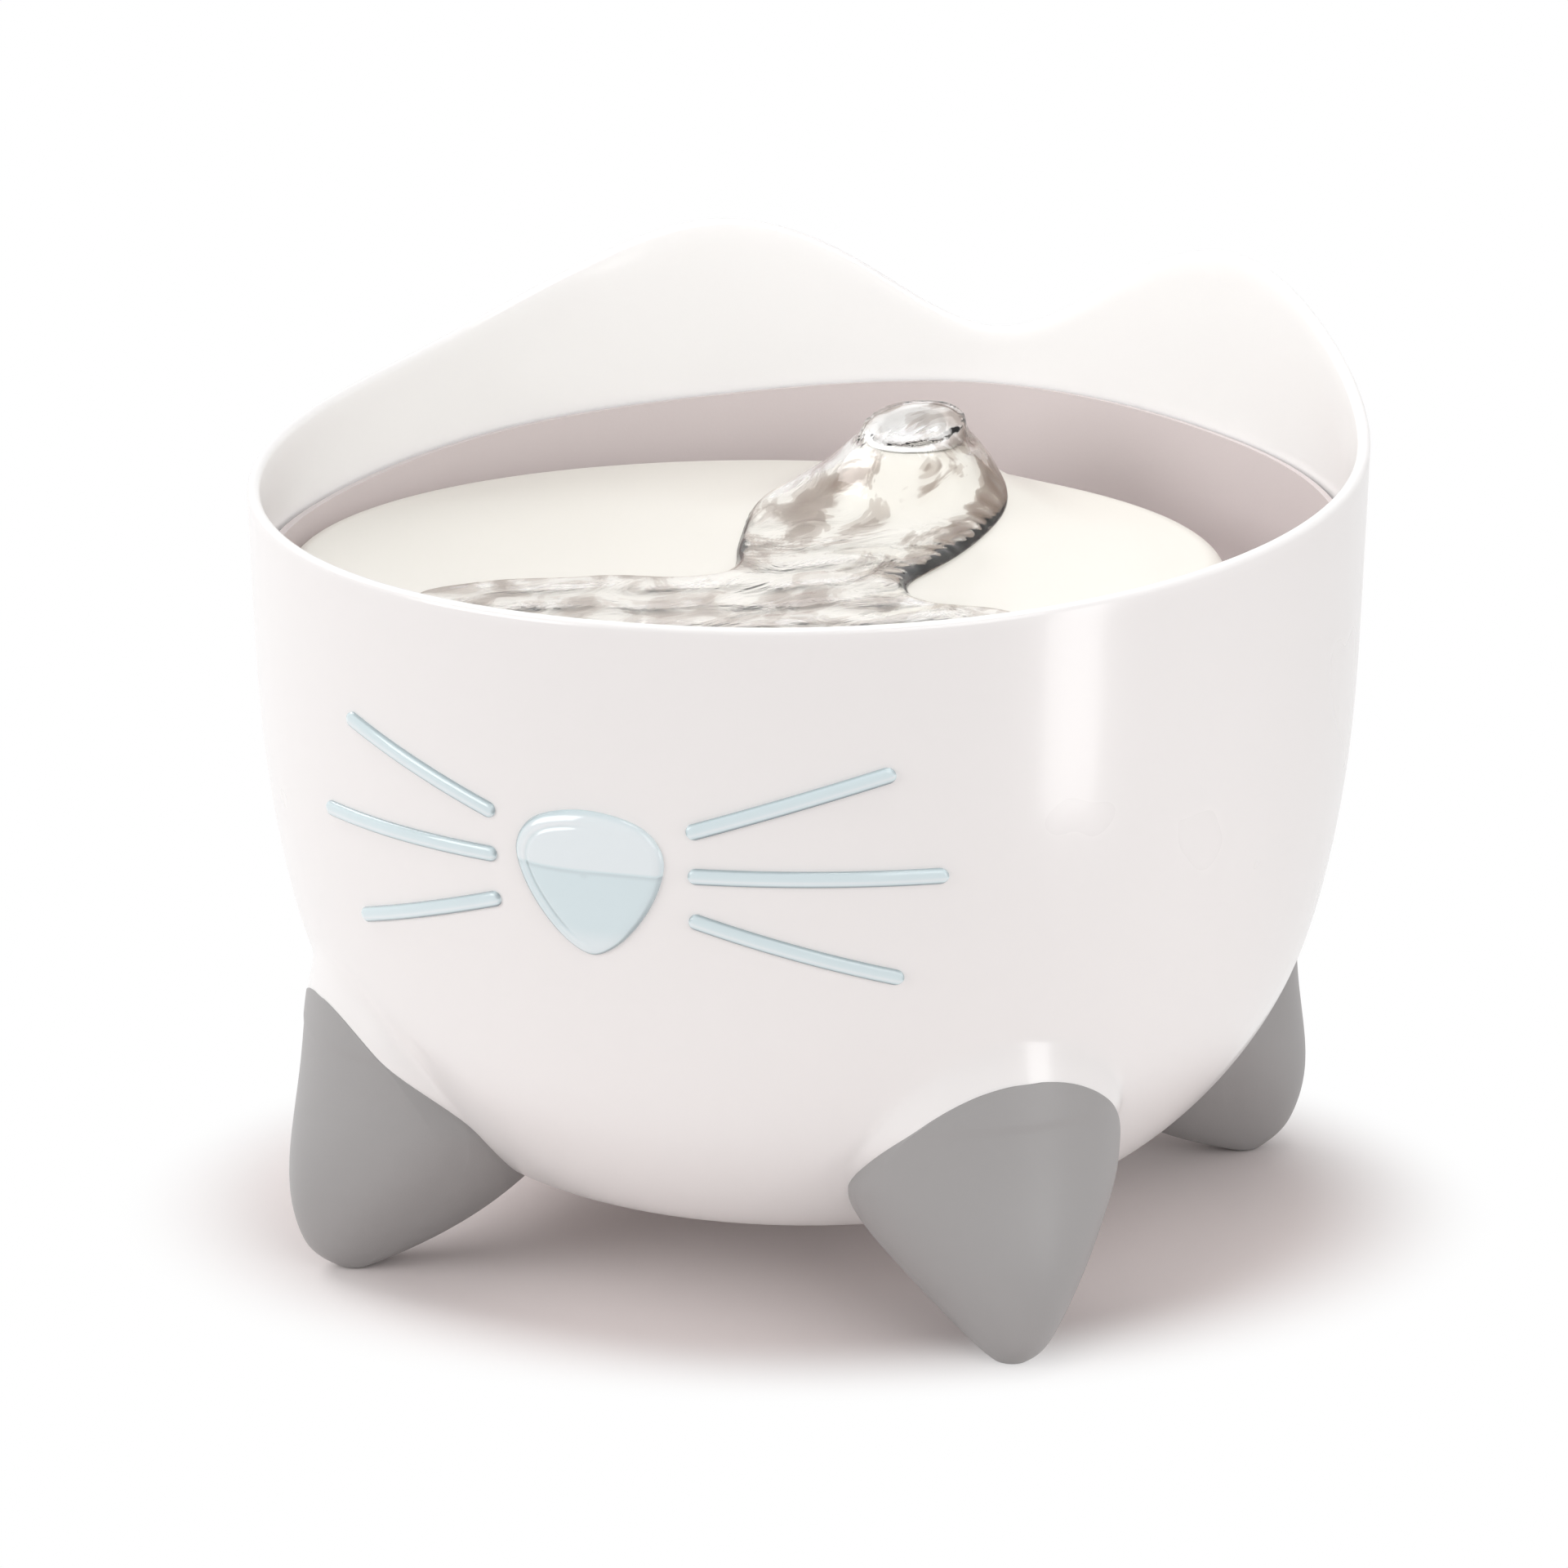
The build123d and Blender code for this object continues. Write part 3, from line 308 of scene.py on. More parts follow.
plasticPlan = {
    # slot: colour, shade, roughness, spread, grain size, grain height, extra shader values
    "body_white": ((0.90, 0.895, 0.89), 0.01, 0.28, 0.04, 900, 0.02,
                   {"Coat Weight": 0.5, "Coat Roughness": 0.13}),
    "foot_grey": ((0.36, 0.357, 0.357), 0.03, 0.42, 0.08, 2200, 0.10, {}),
    "pad_rubber": ((0.2, 0.2, 0.2), 0.2, 0.75, 0.15, 1800, 0.35, {}),
    "seal_rubber": ((0.48, 0.48, 0.48), 0.08, 0.65, 0.12, 1800, 0.25, {}),
    "inlet_black": ((0.012, 0.012, 0.013), 0.1, 0.38, 0.1, 1600, 0.15, {}),
    "lead_sheath": ((0.014, 0.014, 0.015), 0.15, 0.5, 0.12, 1500, 0.2, {}),
    "pump_grey": ((0.028, 0.028, 0.031), 0.15, 0.42, 0.12, 1500, 0.25, {}),
    "resin": ((0.008, 0.008, 0.009), 0.1, 0.12, 0.08, 300, 0.1, {"Coat Weight": 0.4}),
    "ceramic": ((0.78, 0.76, 0.7), 0.05, 0.35, 0.1, 2500, 0.1, {}),
    "ferrite": ((0.02, 0.018, 0.018), 0.2, 0.6, 0.15, 2200, 0.35, {}),
    "wheel_white": ((0.7, 0.7, 0.68), 0.04, 0.35, 0.08, 1500, 0.12, {}),
    "board_green": ((0.01, 0.08, 0.03), 0.2, 0.35, 0.1, 1200, 0.15, {"Coat Weight": 0.3}),
    "spout_white": ((0.86, 0.86, 0.85), 0.01, 0.2, 0.05, 900, 0.03, {"Coat Weight": 0.3}),
    "dish_cream": ((0.80, 0.78, 0.72), 0.02, 0.3, 0.06, 1200, 0.03, {"Coat Weight": 0.15}),
    "tray_grey": ((0.62, 0.555, 0.55), 0.03, 0.42, 0.08, 1800, 0.08, {}),
    "filter_white": ((0.75, 0.75, 0.73), 0.03, 0.42, 0.1, 1500, 0.15, {}),
    "copper": ((0.5, 0.16, 0.05), 0.3, 0.28, 0.2, 500, 0.6, {"Metallic": 0.85, "Coat Weight": 0.6}),
}
finishes = {}
for slotName, (colour, shade, rough, spread, size, height, extra) in plasticPlan.items():
    finishes[slotName] = newFinish(
        slotName, mouldedSkin,
        {"Color": (*colour, 1), "Shade": shade, "Roughness": rough, "Spread": spread,
         "Grain Size": size, "Grain Height": height},
        extra,
    )


# Clear blue moulding: a per-point value of tone and painted light goes from a dark edge of painted shade,
# below 0, to a bright part, above, which holds painted highlights.
def makeClearWithPaintedLight():
    group, given, end = newGroup(
        "clearWithPaintedLight",
        {"Color": (0.6, 0.7, 0.8, 1), "Bright": (0.9, 0.95, 1, 1), "Dark": (0.3, 0.36, 0.4, 1)},
        "Color", "Roughness", "Normal",
    )
    toneAndPaintedLight = addNode(group, "ShaderNodeAttribute", attribute_name="toneAndPaintedLight").outputs["Fac"]
    over = mathOf(group, "MULTIPLY", toneAndPaintedLight, 1.0, clamp=True)
    under = mathOf(group, "MULTIPLY", toneAndPaintedLight, -1.0, clamp=True)
    bright = mixOf(group, over, given["Color"], given["Bright"])
    skin = addNode(group, "ShaderNodeGroup", node_tree=mouldedSkin)
    for socket, value in bluePlan["skin"].items():
        skin.inputs[socket].default_value = value
    group.links.new(mixOf(group, under, bright, given["Dark"]), skin.inputs["Color"])
    giveOut(group, end, {label: skin.outputs[label] for label in socketKinds})
    return group


# bright: colour of the bright part and of painted highlights; dark: colour of the painted shade and of the
# dark under the water line
bluePlan = {
    "colour": (0.73, 0.87, 0.91, 1), "bright": (0.90, 0.97, 1.0, 1), "dark": (0.13, 0.18, 0.21, 1),
    "skin": {"Shade": 0.05, "Roughness": 0.09, "Spread": 0.04, "Grain Size": 300.0, "Grain Height": 0.03},
}
finishes["face_blue"] = newFinish(
    "face_blue", makeClearWithPaintedLight(),
    {"Color": bluePlan["colour"], "Bright": bluePlan["bright"], "Dark": bluePlan["dark"]},
    {"Transmission Weight": 0.06, "IOR": 1.46, "Coat Weight": 0.7, "Coat Roughness": 0.03},
)
clearPlan = {
    "riser_clear": ((0.8, 0.86, 0.88), 0.12, {"Transmission Weight": 0.8, "IOR": 1.46}),
    "lens_clear": ((0.9, 0.94, 0.97), 0.05, {"Transmission Weight": 0.95, "IOR": 1.49}),
}
for slotName, (colour, rough, extra) in clearPlan.items():
    finishes[slotName] = newFinish(
        slotName, mouldedSkin,
        {"Color": (*colour, 1), "Shade": 0.04, "Roughness": rough, "Spread": 0.03,
         "Grain Size": 400, "Grain Height": 0.02},
        extra,
    )
metalPlan = {
    "steel": ((0.56, 0.55, 0.54, 1), (30.0, 30.0, 1200.0), 0.22),
    "brass": ((0.78, 0.56, 0.22, 1), (40.0, 900.0, 40.0), 0.12),
}
for slotName, (colour, stretch, rough) in metalPlan.items():
    finishes[slotName] = newFinish(
        slotName, brushedStreaks, {"Stretch": stretch, "Roughness": rough, "Spread": 0.22},
        {"Base Color": colour, "Metallic": 1.0},
    )
# colour, pit colour, cell size, depth: the darker pit colour is painted shade in the pits
cellPlan = {
    "foam_blue": ((0.12, 0.22, 0.32, 1), (0.01, 0.03, 0.06, 1), 800.0, 1.0),
    "foam_black": ((0.03, 0.03, 0.03, 1), (0.002, 0.002, 0.002, 1), 900.0, 1.0),
    "carbon": ((0.025, 0.025, 0.027, 1), (0.004, 0.004, 0.004, 1), 450.0, 1.0),
    "felt": ((0.78, 0.76, 0.71, 1), (0.5, 0.48, 0.44, 1), 1600.0, 0.6),
}
for slotName, (colour, pit, size, depth) in cellPlan.items():
    finishes[slotName] = newFinish(
        slotName, openCells, {"Color": colour, "Pit Color": pit, "Cell Size": size, "Depth": depth},
        {"Roughness": 0.9},
    )


waterPlan = {
    # brown: the colour of the painted reflection
    "clear": (1.0, 0.995, 0.99, 1), "brown": (0.50, 0.43, 0.39, 1),
    # pattern's size and its stretch along each axis, and how much of it twists
    "size": 95.0, "stretch": (1.0, 0.55, 1.0), "twist": 1.6,
    # where brown begins, over how much it comes in, and how soon it is full
    "level": 0.57, "edge": 0.035, "fade": 1.1,
}


# Water: clear, with brown marbling painted where the surface would bend the room's darker side into view: a
# painted reflection.
# The piece's per-point painted reflection is added to a cloud, and brown shows where their sum is over the
# level.
def makeWaterMarbling():
    group, given, end = newGroup(
        "waterMarbling",
        {"Clear": (1, 1, 1, 1), "Brown": (0.4, 0.34, 0.3, 1), "Cloud Size": 75.0, "Level": 0.7},
        "Color", "Normal",
    )
    place = addNode(group, "ShaderNodeVectorMath", {0: ownPlace(group), 1: waterPlan["stretch"]},
                    operation="MULTIPLY").outputs[0]
    paintedReflection = addNode(group, "ShaderNodeAttribute", attribute_name="paintedReflection").outputs["Fac"]
    cloud = addNode(group, "ShaderNodeTexNoise", {
        "Vector": place, "Scale": given["Cloud Size"], "Detail": 3.0, "Roughness": 0.5,
        "Distortion": waterPlan["twist"]}).outputs["Fac"]
    both = mathOf(group, "ADD", cloud, paintedReflection)
    full = mathOf(group, "ADD", given["Level"], waterPlan["edge"])
    mask = addNode(group, "ShaderNodeMapRange", {"Value": both, "From Min": given["Level"], "From Max": full},
                   interpolation_type="SMOOTHSTEP").outputs[0]
    share = mathOf(group, "MULTIPLY", mask, mathOf(group, "MULTIPLY", both, waterPlan["fade"], clamp=True))
    giveOut(group, end, {"Color": mixOf(group, share, given["Clear"], given["Brown"]),
                         "Normal": bumpOf(group, cloud, 0.25, 0.0006)})
    return group


finishes["water"] = newFinish(
    "water", makeWaterMarbling(),
    {"Clear": waterPlan["clear"], "Brown": waterPlan["brown"], "Cloud Size": waterPlan["size"],
     "Level": waterPlan["level"]},
    {"Roughness": 0.02, "IOR": 1.33, "Transmission Weight": 1.0},
)
print("finishes:", len(finishes))

# Feet: claw-shaped ovals stacked from the ground up, the same four times.
feet = {
    "turns": {"front_left": -45.0, "front_right": 45.0, "rear_left": -131.0, "rear_right": 131.0},
    # the claw with the lip that frames it: height, outer radius, inner radius, half width
    "claw": [
        (0.4, 95.6, 88.4, 3.2), (2.4, 98.7, 82.0, 5.4), (7.4, 102.4, 70.0, 9.6),
        (15.8, 104.0, 58.0, 16.2), (24.2, 103.2, 52.0, 22.0), (31.0, 101.7, 55.0, 24.8),
        (38.0, 100.3, 60.0, 25.3), (44.0, 99.4, 65.5, 24.6), (50.0, 98.5, 71.5, 22.6),
        (54.0, 97.8, 76.0, 20.0), (57.0, 97.1, 80.5, 17.0), (59.3, 96.5, 86.0, 13.0),
        (60.6, 96.1, 91.0, 8.0),
    ],
    # the grey foot's own half width, up to the top of its arch
    "arch": [(0.4, 3.2), (2.4, 5.4), (7.4, 9.6), (15.8, 16.2), (24.2, 22.0), (31.0, 24.7), (36.0, 24.2),
             (41.0, 22.7), (45.0, 20.2), (48.5, 16.4), (51.4, 11.4), (52.9, 7.0), (53.7, 0.6)],
    # the lip's heights from nothing to full and its end, and the degrees over which it fades
    "lipFrom": (31.0, 47.0), "lipTop": 72, "lipFade": (19.0, 26.0), "lipFillet": 1.2,
    "proud": 0.2, "sunk": 1.2, "crease": (79.0, 90.0), "creaseFillet": 0.15, "topRoll": 0.12,
    # above its last section the claw draws in by this share of the height
    "drawIn": 1.5,
    # least squares of a half width, so that their roots stay real
    "leastClaw": 0.2, "leastArch": 0.05,
    "rows": 120, "across": 180, "settleSteps": 8, "skinAbove": 15.6,
}
claw = np.array(feet["claw"])
arch = np.array(feet["arch"])


# Outer radius, inner radius and half width of the claw at a height, smooth between its sections.
# Widths are joined by their squares, so that the ends come out round.
def clawAt(height):
    held = np.clip(height, claw[0, 0], claw[-1, 0])
    sides = smoothThrough(claw[:, 0], claw[:, 1:3], held)
    half = np.sqrt(np.maximum(smoothThrough(claw[:, 0], claw[:, 3] ** 2, held), feet["leastClaw"]))
    over = np.maximum(height - claw[-1, 0], 0)
    return sides[..., 0] - feet["drawIn"] * over, sides[..., 1], half


# Half width of the grey foot at a height.
def archHalf(height):
    return np.sqrt(np.maximum(smoothThrough(arch[:, 0], arch[:, 1] ** 2, height), feet["leastArch"]))


# Radius at which a level line from the bowl's middle leaves the claw's oval: the far root of
# ((r cos t - c) / a)^2 + (r sin t / b)^2 = 1, where t is the angle from the foot's own line.
def lipRadius(turn, height):
    outer, inner, b = clawAt(height)
    a, c = (outer - inner) / 2, (outer + inner) / 2
    square = np.cos(turn) ** 2 / a**2 + np.sin(turn) ** 2 / b**2
    middle = c * np.cos(turn) / a**2
    rest = middle**2 - square * (c**2 / a**2 - 1)
    return (middle + np.sign(rest) * np.sqrt(np.abs(rest))) / square


# Bowl: one shell turned from a profile, with a wavy rim and a lip over each foot.
bowl = {
    "profile": [
        (20.0, 15.5), (36.0, 15.5), (50.0, 15.5), (62.7, 17.3), (71.8, 23.1), (82.0, 33.6),
        (92.4, 50.4), (98.8, 71.4), (102.6, 97.7), (103.8, 124.0), (104.5, 150.0), (105.0, 178.0),
    ],
    # degrees round from the face, height of the rim
    "rim": [(0, 138.9), (38, 140.2), (65, 143.6), (90, 148.1), (112, 154.6), (131, 166.2),
            (149, 174.6), (164, 166.2), (180, 153.6)],
    "wall": 2.4, "lip": 1.2,
    # radii of the level floor's rings and of the curve's start, and the height where lips may begin
    "floorRings": (8, 49), "curveFrom": 50.0, "lipsAbove": 17,
    # powers by which the lips over the feet and the rim's own lip die out along the wall
    "lipsDie": 6, "rimDies": 20, "innerFoot": 0.4,
    "dense": 62.0, "across": 476, "floorRows": 6,
    "lowRows": 82, "highRows": 44, "lipRows": 9, "innerRows": 44,
    # degrees each side of a foot with closer angles, the fade beyond them, and how much closer
    "footSpread": 27.0, "footFade": 5, "footDense": 2.6, "fineTurns": 7201, "fineLine": 900,
}


# The bowl's outline moved out by grow along its own normal: radius and height.
def bowlLine(grow):
    points = np.array(bowl["profile"])
    along = lengthAlong(points)
    line = smoothThrough(along, points, np.linspace(0, along[-1], bowl["fineLine"]))
    run = np.gradient(line, axis=0)
    run /= np.linalg.norm(run, axis=1)[:, None]
    return line + grow * np.stack([run[:, 1], -run[:, 0]], -1)


bowlLines = {0.0: bowlLine(0.0), -bowl["wall"]: bowlLine(-bowl["wall"])}


# Radius of the bowl's skin at a height.
def skinRadius(height, grow=0.0):
    line = bowlLines[grow]
    return np.interp(height, np.maximum.accumulate(line[:, 1]), line[:, 0])


# Height of the rim at an angle from the face, the same on both sides.
def rimHeight(turn):
    knots = np.array(bowl["rim"], float)
    angle = np.concatenate([knots[:, 0], 360 - knots[-2:0:-1, 0]])
    height = np.concatenate([knots[:, 1], knots[-2:0:-1, 1]])
    return smoothThrough(angle, height, np.degrees(turn) % 360, loop=360)


# The skin with the lips that frame the feet: the bowl's radius blended into a claw's oval.
def dressedRadius(turn, height):
    radius = skinRadius(height)
    for degrees in feet["turns"].values():
        off = (turn - math.radians(degrees) + math.pi) % (2 * math.pi) - math.pi
        near = np.abs(off) < math.radians(feet["lipFade"][1])
        near = near & (height < feet["lipTop"]) & (height > feet["lipFrom"][0])
        z, s = height[near], radius[near]
        lipped = filletMax(s, lipRadius(off[near], z), feet["lipFillet"])
        away = 1 - easeIn(*feet["lipFade"], np.degrees(np.abs(off[near])))
        radius[near] = s + easeIn(*feet["lipFrom"], z) * away * (lipped - s)
    return radius


# Angles round the bowl, closer together at the feet.
def bowlTurns():
    even = np.linspace(-180, 180, bowl["fineTurns"])
    dense = np.ones_like(even)
    for degrees in feet["turns"].values():
        off = np.abs((even - degrees + 180) % 360 - 180)
        fade = easeIn(bowl["footSpread"], bowl["footSpread"] + bowl["footFade"], off)
        dense += bowl["footDense"] * (1 - fade)
    share = np.concatenate([[0], np.cumsum((dense[1:] + dense[:-1]) / 2)])
    wanted = np.linspace(0, share[-1], bowl["across"] + 1)[:-1]
    return np.radians(np.interp(wanted, share, even))


# Outside from the middle of the floor up, over a half-round lip, and down the inside: every row is
# a pair (radius, height) for all angles.
def makeBowl():
    turn = bowlTurns()
    rim = rimHeight(turn)
    line, wall, lip = bowlLines[0.0], bowl["wall"], bowl["lip"]
    floorLow = bowl["profile"][0][1]
    start = np.searchsorted(line[:, 0], bowl["curveFrom"])
    stop = np.searchsorted(np.maximum.accumulate(line[:, 1]), bowl["dense"])
    along = lengthAlong(line[start:stop])
    low = np.stack([np.interp(np.linspace(0, along[-1], bowl["lowRows"]), along, line[start:stop, k])
                    for k in (0, 1)], -1)
    radii, heights = [], []
    for r in np.linspace(*bowl["floorRings"], bowl["floorRows"]):
        radii.append(np.full_like(turn, r))
        heights.append(np.full_like(turn, floorLow))
    for r, z in low:
        level = np.full_like(turn, z)
        radii.append(np.full_like(turn, r) if z < bowl["lipsAbove"] else dressedRadius(turn, level))
        heights.append(level)
    lips = dressedRadius(turn, np.full_like(turn, bowl["dense"])) - skinRadius(bowl["dense"])
    for share in np.linspace(0, 1, bowl["highRows"])[1:]:
        z = bowl["dense"] + share * (rim - lip - bowl["dense"])
        radii.append(skinRadius(z) + lips * (1 - share) ** bowl["lipsDie"])
        heights.append(z)
    middle = skinRadius(rim - lip) - lip
    for angle in np.linspace(0, math.pi, bowl["lipRows"])[1:]:
        radii.append(middle + lip * math.cos(angle))
        heights.append(rim - lip + lip * math.sin(angle))
    floorTop = floorLow + wall
    offWall = middle - lip - skinRadius(rim - lip, -wall)
    for share in np.linspace(0, 1, bowl["innerRows"])[1:]:
        z = (rim - lip) + share * (floorTop + bowl["innerFoot"] - (rim - lip))
        radii.append(skinRadius(z, -wall) + offWall * (1 - share) ** bowl["rimDies"])
        heights.append(z)
    for r in np.linspace(bowl["curveFrom"], bowl["floorRings"][0], bowl["floorRows"] + 2):
        radii.append(np.full_like(turn, r))
        heights.append(np.full_like(turn, floorTop))
    r, z = np.array(radii), np.array(heights)
    rows = np.stack([r * np.sin(turn), -r * np.cos(turn), z], -1)
    return closedSkin("bowlShell", rows, [(0, 0, floorLow), (0, 0, floorTop)])


dress(makeBowl(), "bowl", "body_white", "reservoir_bowl")
print("bowl made")


# A foot: level ovals from the ground up. Inside the arch its outer side lies just proud of the
# bowl's skin and dips under it along the arch, and its inner side follows under the skin.
def makeFoot(place, degrees):
    turn = math.radians(degrees)
    low, top = arch[0, 0], arch[-1, 0]
    share = np.linspace(0, 1, feet["rows"])
    z = (low + (top - low) * (0.5 - 0.5 * np.cos(math.pi * share)))[:, None]
    oval = np.linspace(0, 2 * math.pi, feet["across"], endpoint=False)[None, :]
    outer, inner, half = clawAt(z)
    reach, middle = (outer - inner) / 2, (outer + inner) / 2
    across = np.minimum(archHalf(z), half) * np.sin(oval)
    inOval = reach * np.sqrt(np.maximum(1 - (across / half) ** 2, 0))
    z = np.broadcast_to(z, across.shape)
    onSkin = middle + inOval
    for _ in range(feet["settleSteps"]):
        radius = dressedRadius(turn + np.arctan2(across, onSkin), z)
        onSkin = (onSkin + np.sqrt(np.maximum(radius**2 - across**2, 1))) / 2
    onSkin = np.where(z > feet["skinAbove"], onSkin, 0)
    front = filletMax(middle + inOval, onSkin + feet["proud"], feet["creaseFillet"])
    rear = np.maximum(middle - inOval, onSkin - feet["sunk"])
    side = np.maximum(middle, onSkin - feet["sunk"])
    fromFront = np.degrees(np.abs((oval + math.pi) % (2 * math.pi) - math.pi))
    dip = np.maximum(easeIn(*feet["crease"], fromFront), easeIn(top - feet["topRoll"], top, z))
    forward = np.where(fromFront <= 90, front + dip * (side - front), rear)
    ahead, aside = (math.sin(turn), -math.cos(turn)), (math.cos(turn), math.sin(turn))
    rows = np.stack([forward * ahead[0] + across * aside[0], forward * ahead[1] + across * aside[1], z], -1)
    ends = [rows[0].mean(0), rows[-1].mean(0)]
    name = "foot" + place.title().replace("_", "")
    dress(closedSkin(name, rows, ends), "bowl", "foot_grey", "foot_" + place)


for place, degrees in feet["turns"].items():
    makeFoot(place, degrees)
print("feet made")

# Drinking dish: a shallow plate with a rolled edge and a mound round the spout.
dish = {
    "middle": (-9.5, -2.0), "radius": 88.5, "shell": 2.4, "low": 118.0, "edge": 4.5,
    "top": [(0, 125.2), (50, 125.9), (84, 127.7), (95, 128.6)],
    "spout": (0.0, 57.0), "bore": 8.15,
    # distance from the spout, height
    "mound": [(0, 137.9), (8, 137.8), (11, 137.1), (15.5, 133.6), (22, 129.6), (30, 127.2),
              (38, 125.9), (50, 124.2), (64, 122.6)],
    "fallBeyond": 0.1, "fillet": 0.8,
    # the rim's lower edge: distance in from the rim, share of the wall's height
    "turnedIn": [(0.0, 0.5), (0.1, 0.12), (0.7, 0.0), (1.7, 0.0), (2.4, 0.12), (2.4, 0.6)],
    "underGap": 1.0, "spread": 1.35, "across": 240, "topRows": 110, "edgeRows": 10, "underRows": 40,
}
dishX, dishY = dish["middle"]
spoutX, spoutY = dish["spout"]


# Height of the dish's upper face: its shallow plate or the mound, whichever is higher, less the
# quarter-round drop at the edge.
def dishTop(x, y):
    fromMiddle = np.hypot(x - dishX, y - dishY)
    fromSpout = np.hypot(x - spoutX, y - spoutY)
    plateEnd, moundEnd = dish["top"][-1][0], dish["mound"][-1][0]
    plate = smoothThrough(*np.array(dish["top"]).T, np.minimum(fromMiddle, plateEnd))
    mound = smoothThrough(*np.array(dish["mound"]).T, np.minimum(fromSpout, moundEnd))
    mound = mound - np.maximum(fromSpout - moundEnd, 0) * dish["fallBeyond"]
    height = filletMax(plate, mound, dish["fillet"])
    over = np.clip(fromMiddle - (dish["radius"] - dish["edge"]), 0, dish["edge"])
    return height - (dish["edge"] - np.sqrt(dish["edge"] ** 2 - over**2))


# Rings that start round the spout and open out to the dish's edge: each is a circle whose centre
# and radius slide from one to the other.
def dishRing(share, angle, innerRadius, outerRadius):
    x = (1 - share) * spoutX + share * dishX
    y = (1 - share) * spoutY + share * dishY
    radius = (1 - share) * innerRadius + share * outerRadius
    return x + radius * np.cos(angle), y + radius * np.sin(angle)


# Out over the top, round the edge, up the inside of the wall and back under to the spout's bore.
def makeDish():
    angle = np.linspace(0, 2 * math.pi, dish["across"], endpoint=False)[None, :]
    flat = dish["radius"] - dish["edge"]
    rows = []
    share = np.linspace(0, 1, dish["topRows"])[:, None] ** dish["spread"]
    x, y = dishRing(share, angle, dish["bore"], flat)
    rows.append(np.stack([x, y, dishTop(x, y)], -1))
    rim = np.linspace(0, 1, dish["edgeRows"])[1:, None] * math.pi / 2
    radius = flat + dish["edge"] * np.sin(rim)
    edgeX, edgeY = np.cos(angle), np.sin(angle)
    x = dishX + radius * edgeX
    y = dishY + radius * edgeY
    rows.append(np.stack([x, y, dishTop(x, y)], -1))
    wallTop = dishTop(x[-1:], y[-1:])
    for inset, part in dish["turnedIn"]:
        r = dish["radius"] - inset
        z = dish["low"] + part * (wallTop - dish["low"])
        rows.append(np.stack([dishX + r * edgeX, dishY + r * edgeY, z], -1))
    share = np.linspace(1, 0, dish["underRows"])[:, None] ** dish["spread"]
    x, y = dishRing(share, angle, dish["bore"], dish["radius"] - dish["shell"] - dish["underGap"])
    rows.append(np.stack([x, y, dishTop(x, y) - dish["shell"]], -1))
    return closedSkin("dishPlate", np.concatenate(rows))


dress(makeDish(), "dish", "dish_cream", "drinking_dish")
print("dish made")

# Spout nozzle: a ring turned about the spout's line.
nozzle = {
    # radius, height, round the section
    "section": [(5.6, 127.0), (5.6, 138.4), (5.75, 139.1), (6.2, 139.6), (6.9, 139.85), (8.4, 139.85),
                (9.1, 139.6), (9.5, 139.1), (9.6, 138.5), (9.55, 137.95), (9.0, 137.9), (8.0, 137.9),
                (8.0, 114.0), (6.05, 114.0), (6.05, 119.0), (7.0, 119.0), (7.0, 121.0), (6.05, 121.0),
                (6.05, 127.0)],
    "across": 96, "slope": 0.28, "rise": 1.3, "slantFrom": (137.9, 139.2),
}


# The ring's mouth leans towards the front: above the flange every height is raised by a share of
# the distance from the front.
def makeNozzle():
    angle = np.linspace(0, 2 * math.pi, nozzle["across"], endpoint=False)[None, :]
    r, z = np.array(nozzle["section"], float).T[..., None]
    x, y = spoutX + r * np.cos(angle), spoutY + r * np.sin(angle)
    lean = easeIn(*nozzle["slantFrom"], z) * (nozzle["rise"] + nozzle["slope"] * (y - spoutY))
    return closedSkin("spoutNozzle", np.stack([x, y, z + lean], -1))


dress(makeNozzle(), "nozzle", "spout_white", "spout_nozzle")

# Water: a stream over the mound and a pool in the dish.
water = {
    # seen from above, from the front of the pool round by the right
    "outline": [
        (5, -79), (32, -71), (49, -54), (56, -38), (53.5, -30.5), (47.7, -25.4), (40.1, -24.8),
        (32.2, -22.6), (26.0, -14.5), (23.2, -8), (22.8, 5), (23.4, 23.3), (23.4, 38), (22.0, 50),
        (17.5, 60), (9.5, 67.0), (0, 69.0), (-9.5, 67), (-18.5, 61), (-24.8, 51.5), (-26.3, 40),
        (-23.2, 26), (-19.5, 14), (-15.6, 3.2), (-12.0, -8), (-13.0, -15.5), (-19.4, -20.5),
        (-30.2, -25), (-41.3, -33), (-51, -44), (-55.0, -55), (-50, -65), (-25, -76),
    ],
    "middle": (5.0, -28.0), "depth": 1.9, "edge": 3.2, "lift": 0.05, "ripple": 0.09,
    # over the spout: the dome's top, its fall and its lean, how much thinner it is and where
    "dome": (144.3, 0.04), "domeLean": 0.10, "thinner": 0.9, "thinFrom": (13.0, 9.5),
    # height of the water's underside over the spout's mouth, and the radii of the step up to it
    "mouth": 139.95, "step": (10.6, 9.9),
    "fillet": 2.0, "filletFrom": (0.5, 4),
    # plane waves: pace along x, pace along y, start, size
    "waves": [(0.30, 0.11, 0.0, 1.0), (-0.17, 0.34, 1.7, 1.0), (0.45, -0.28, 0.4, 0.6)],
    # the right-hand band along x and along y, with its uneven ripple's size, reach from the edge
    # and swell: level, size, pace along y, start
    "right": ((6, 14), (-16, -6)), "unevenSize": 1.6, "unevenReach": (3, 8),
    "swell": (0.6, 0.4, 0.41, -0.7),
    # swaying wave: pace along x, pace along y, sway, then the sway's own paces and start
    "uneven": (0.35, 0.92, 1.9, 0.0, 0.33, 1.0),
    "across": 420, "rings": 96, "spread": 1.4, "inner": 0.01, "fine": 1600,
}
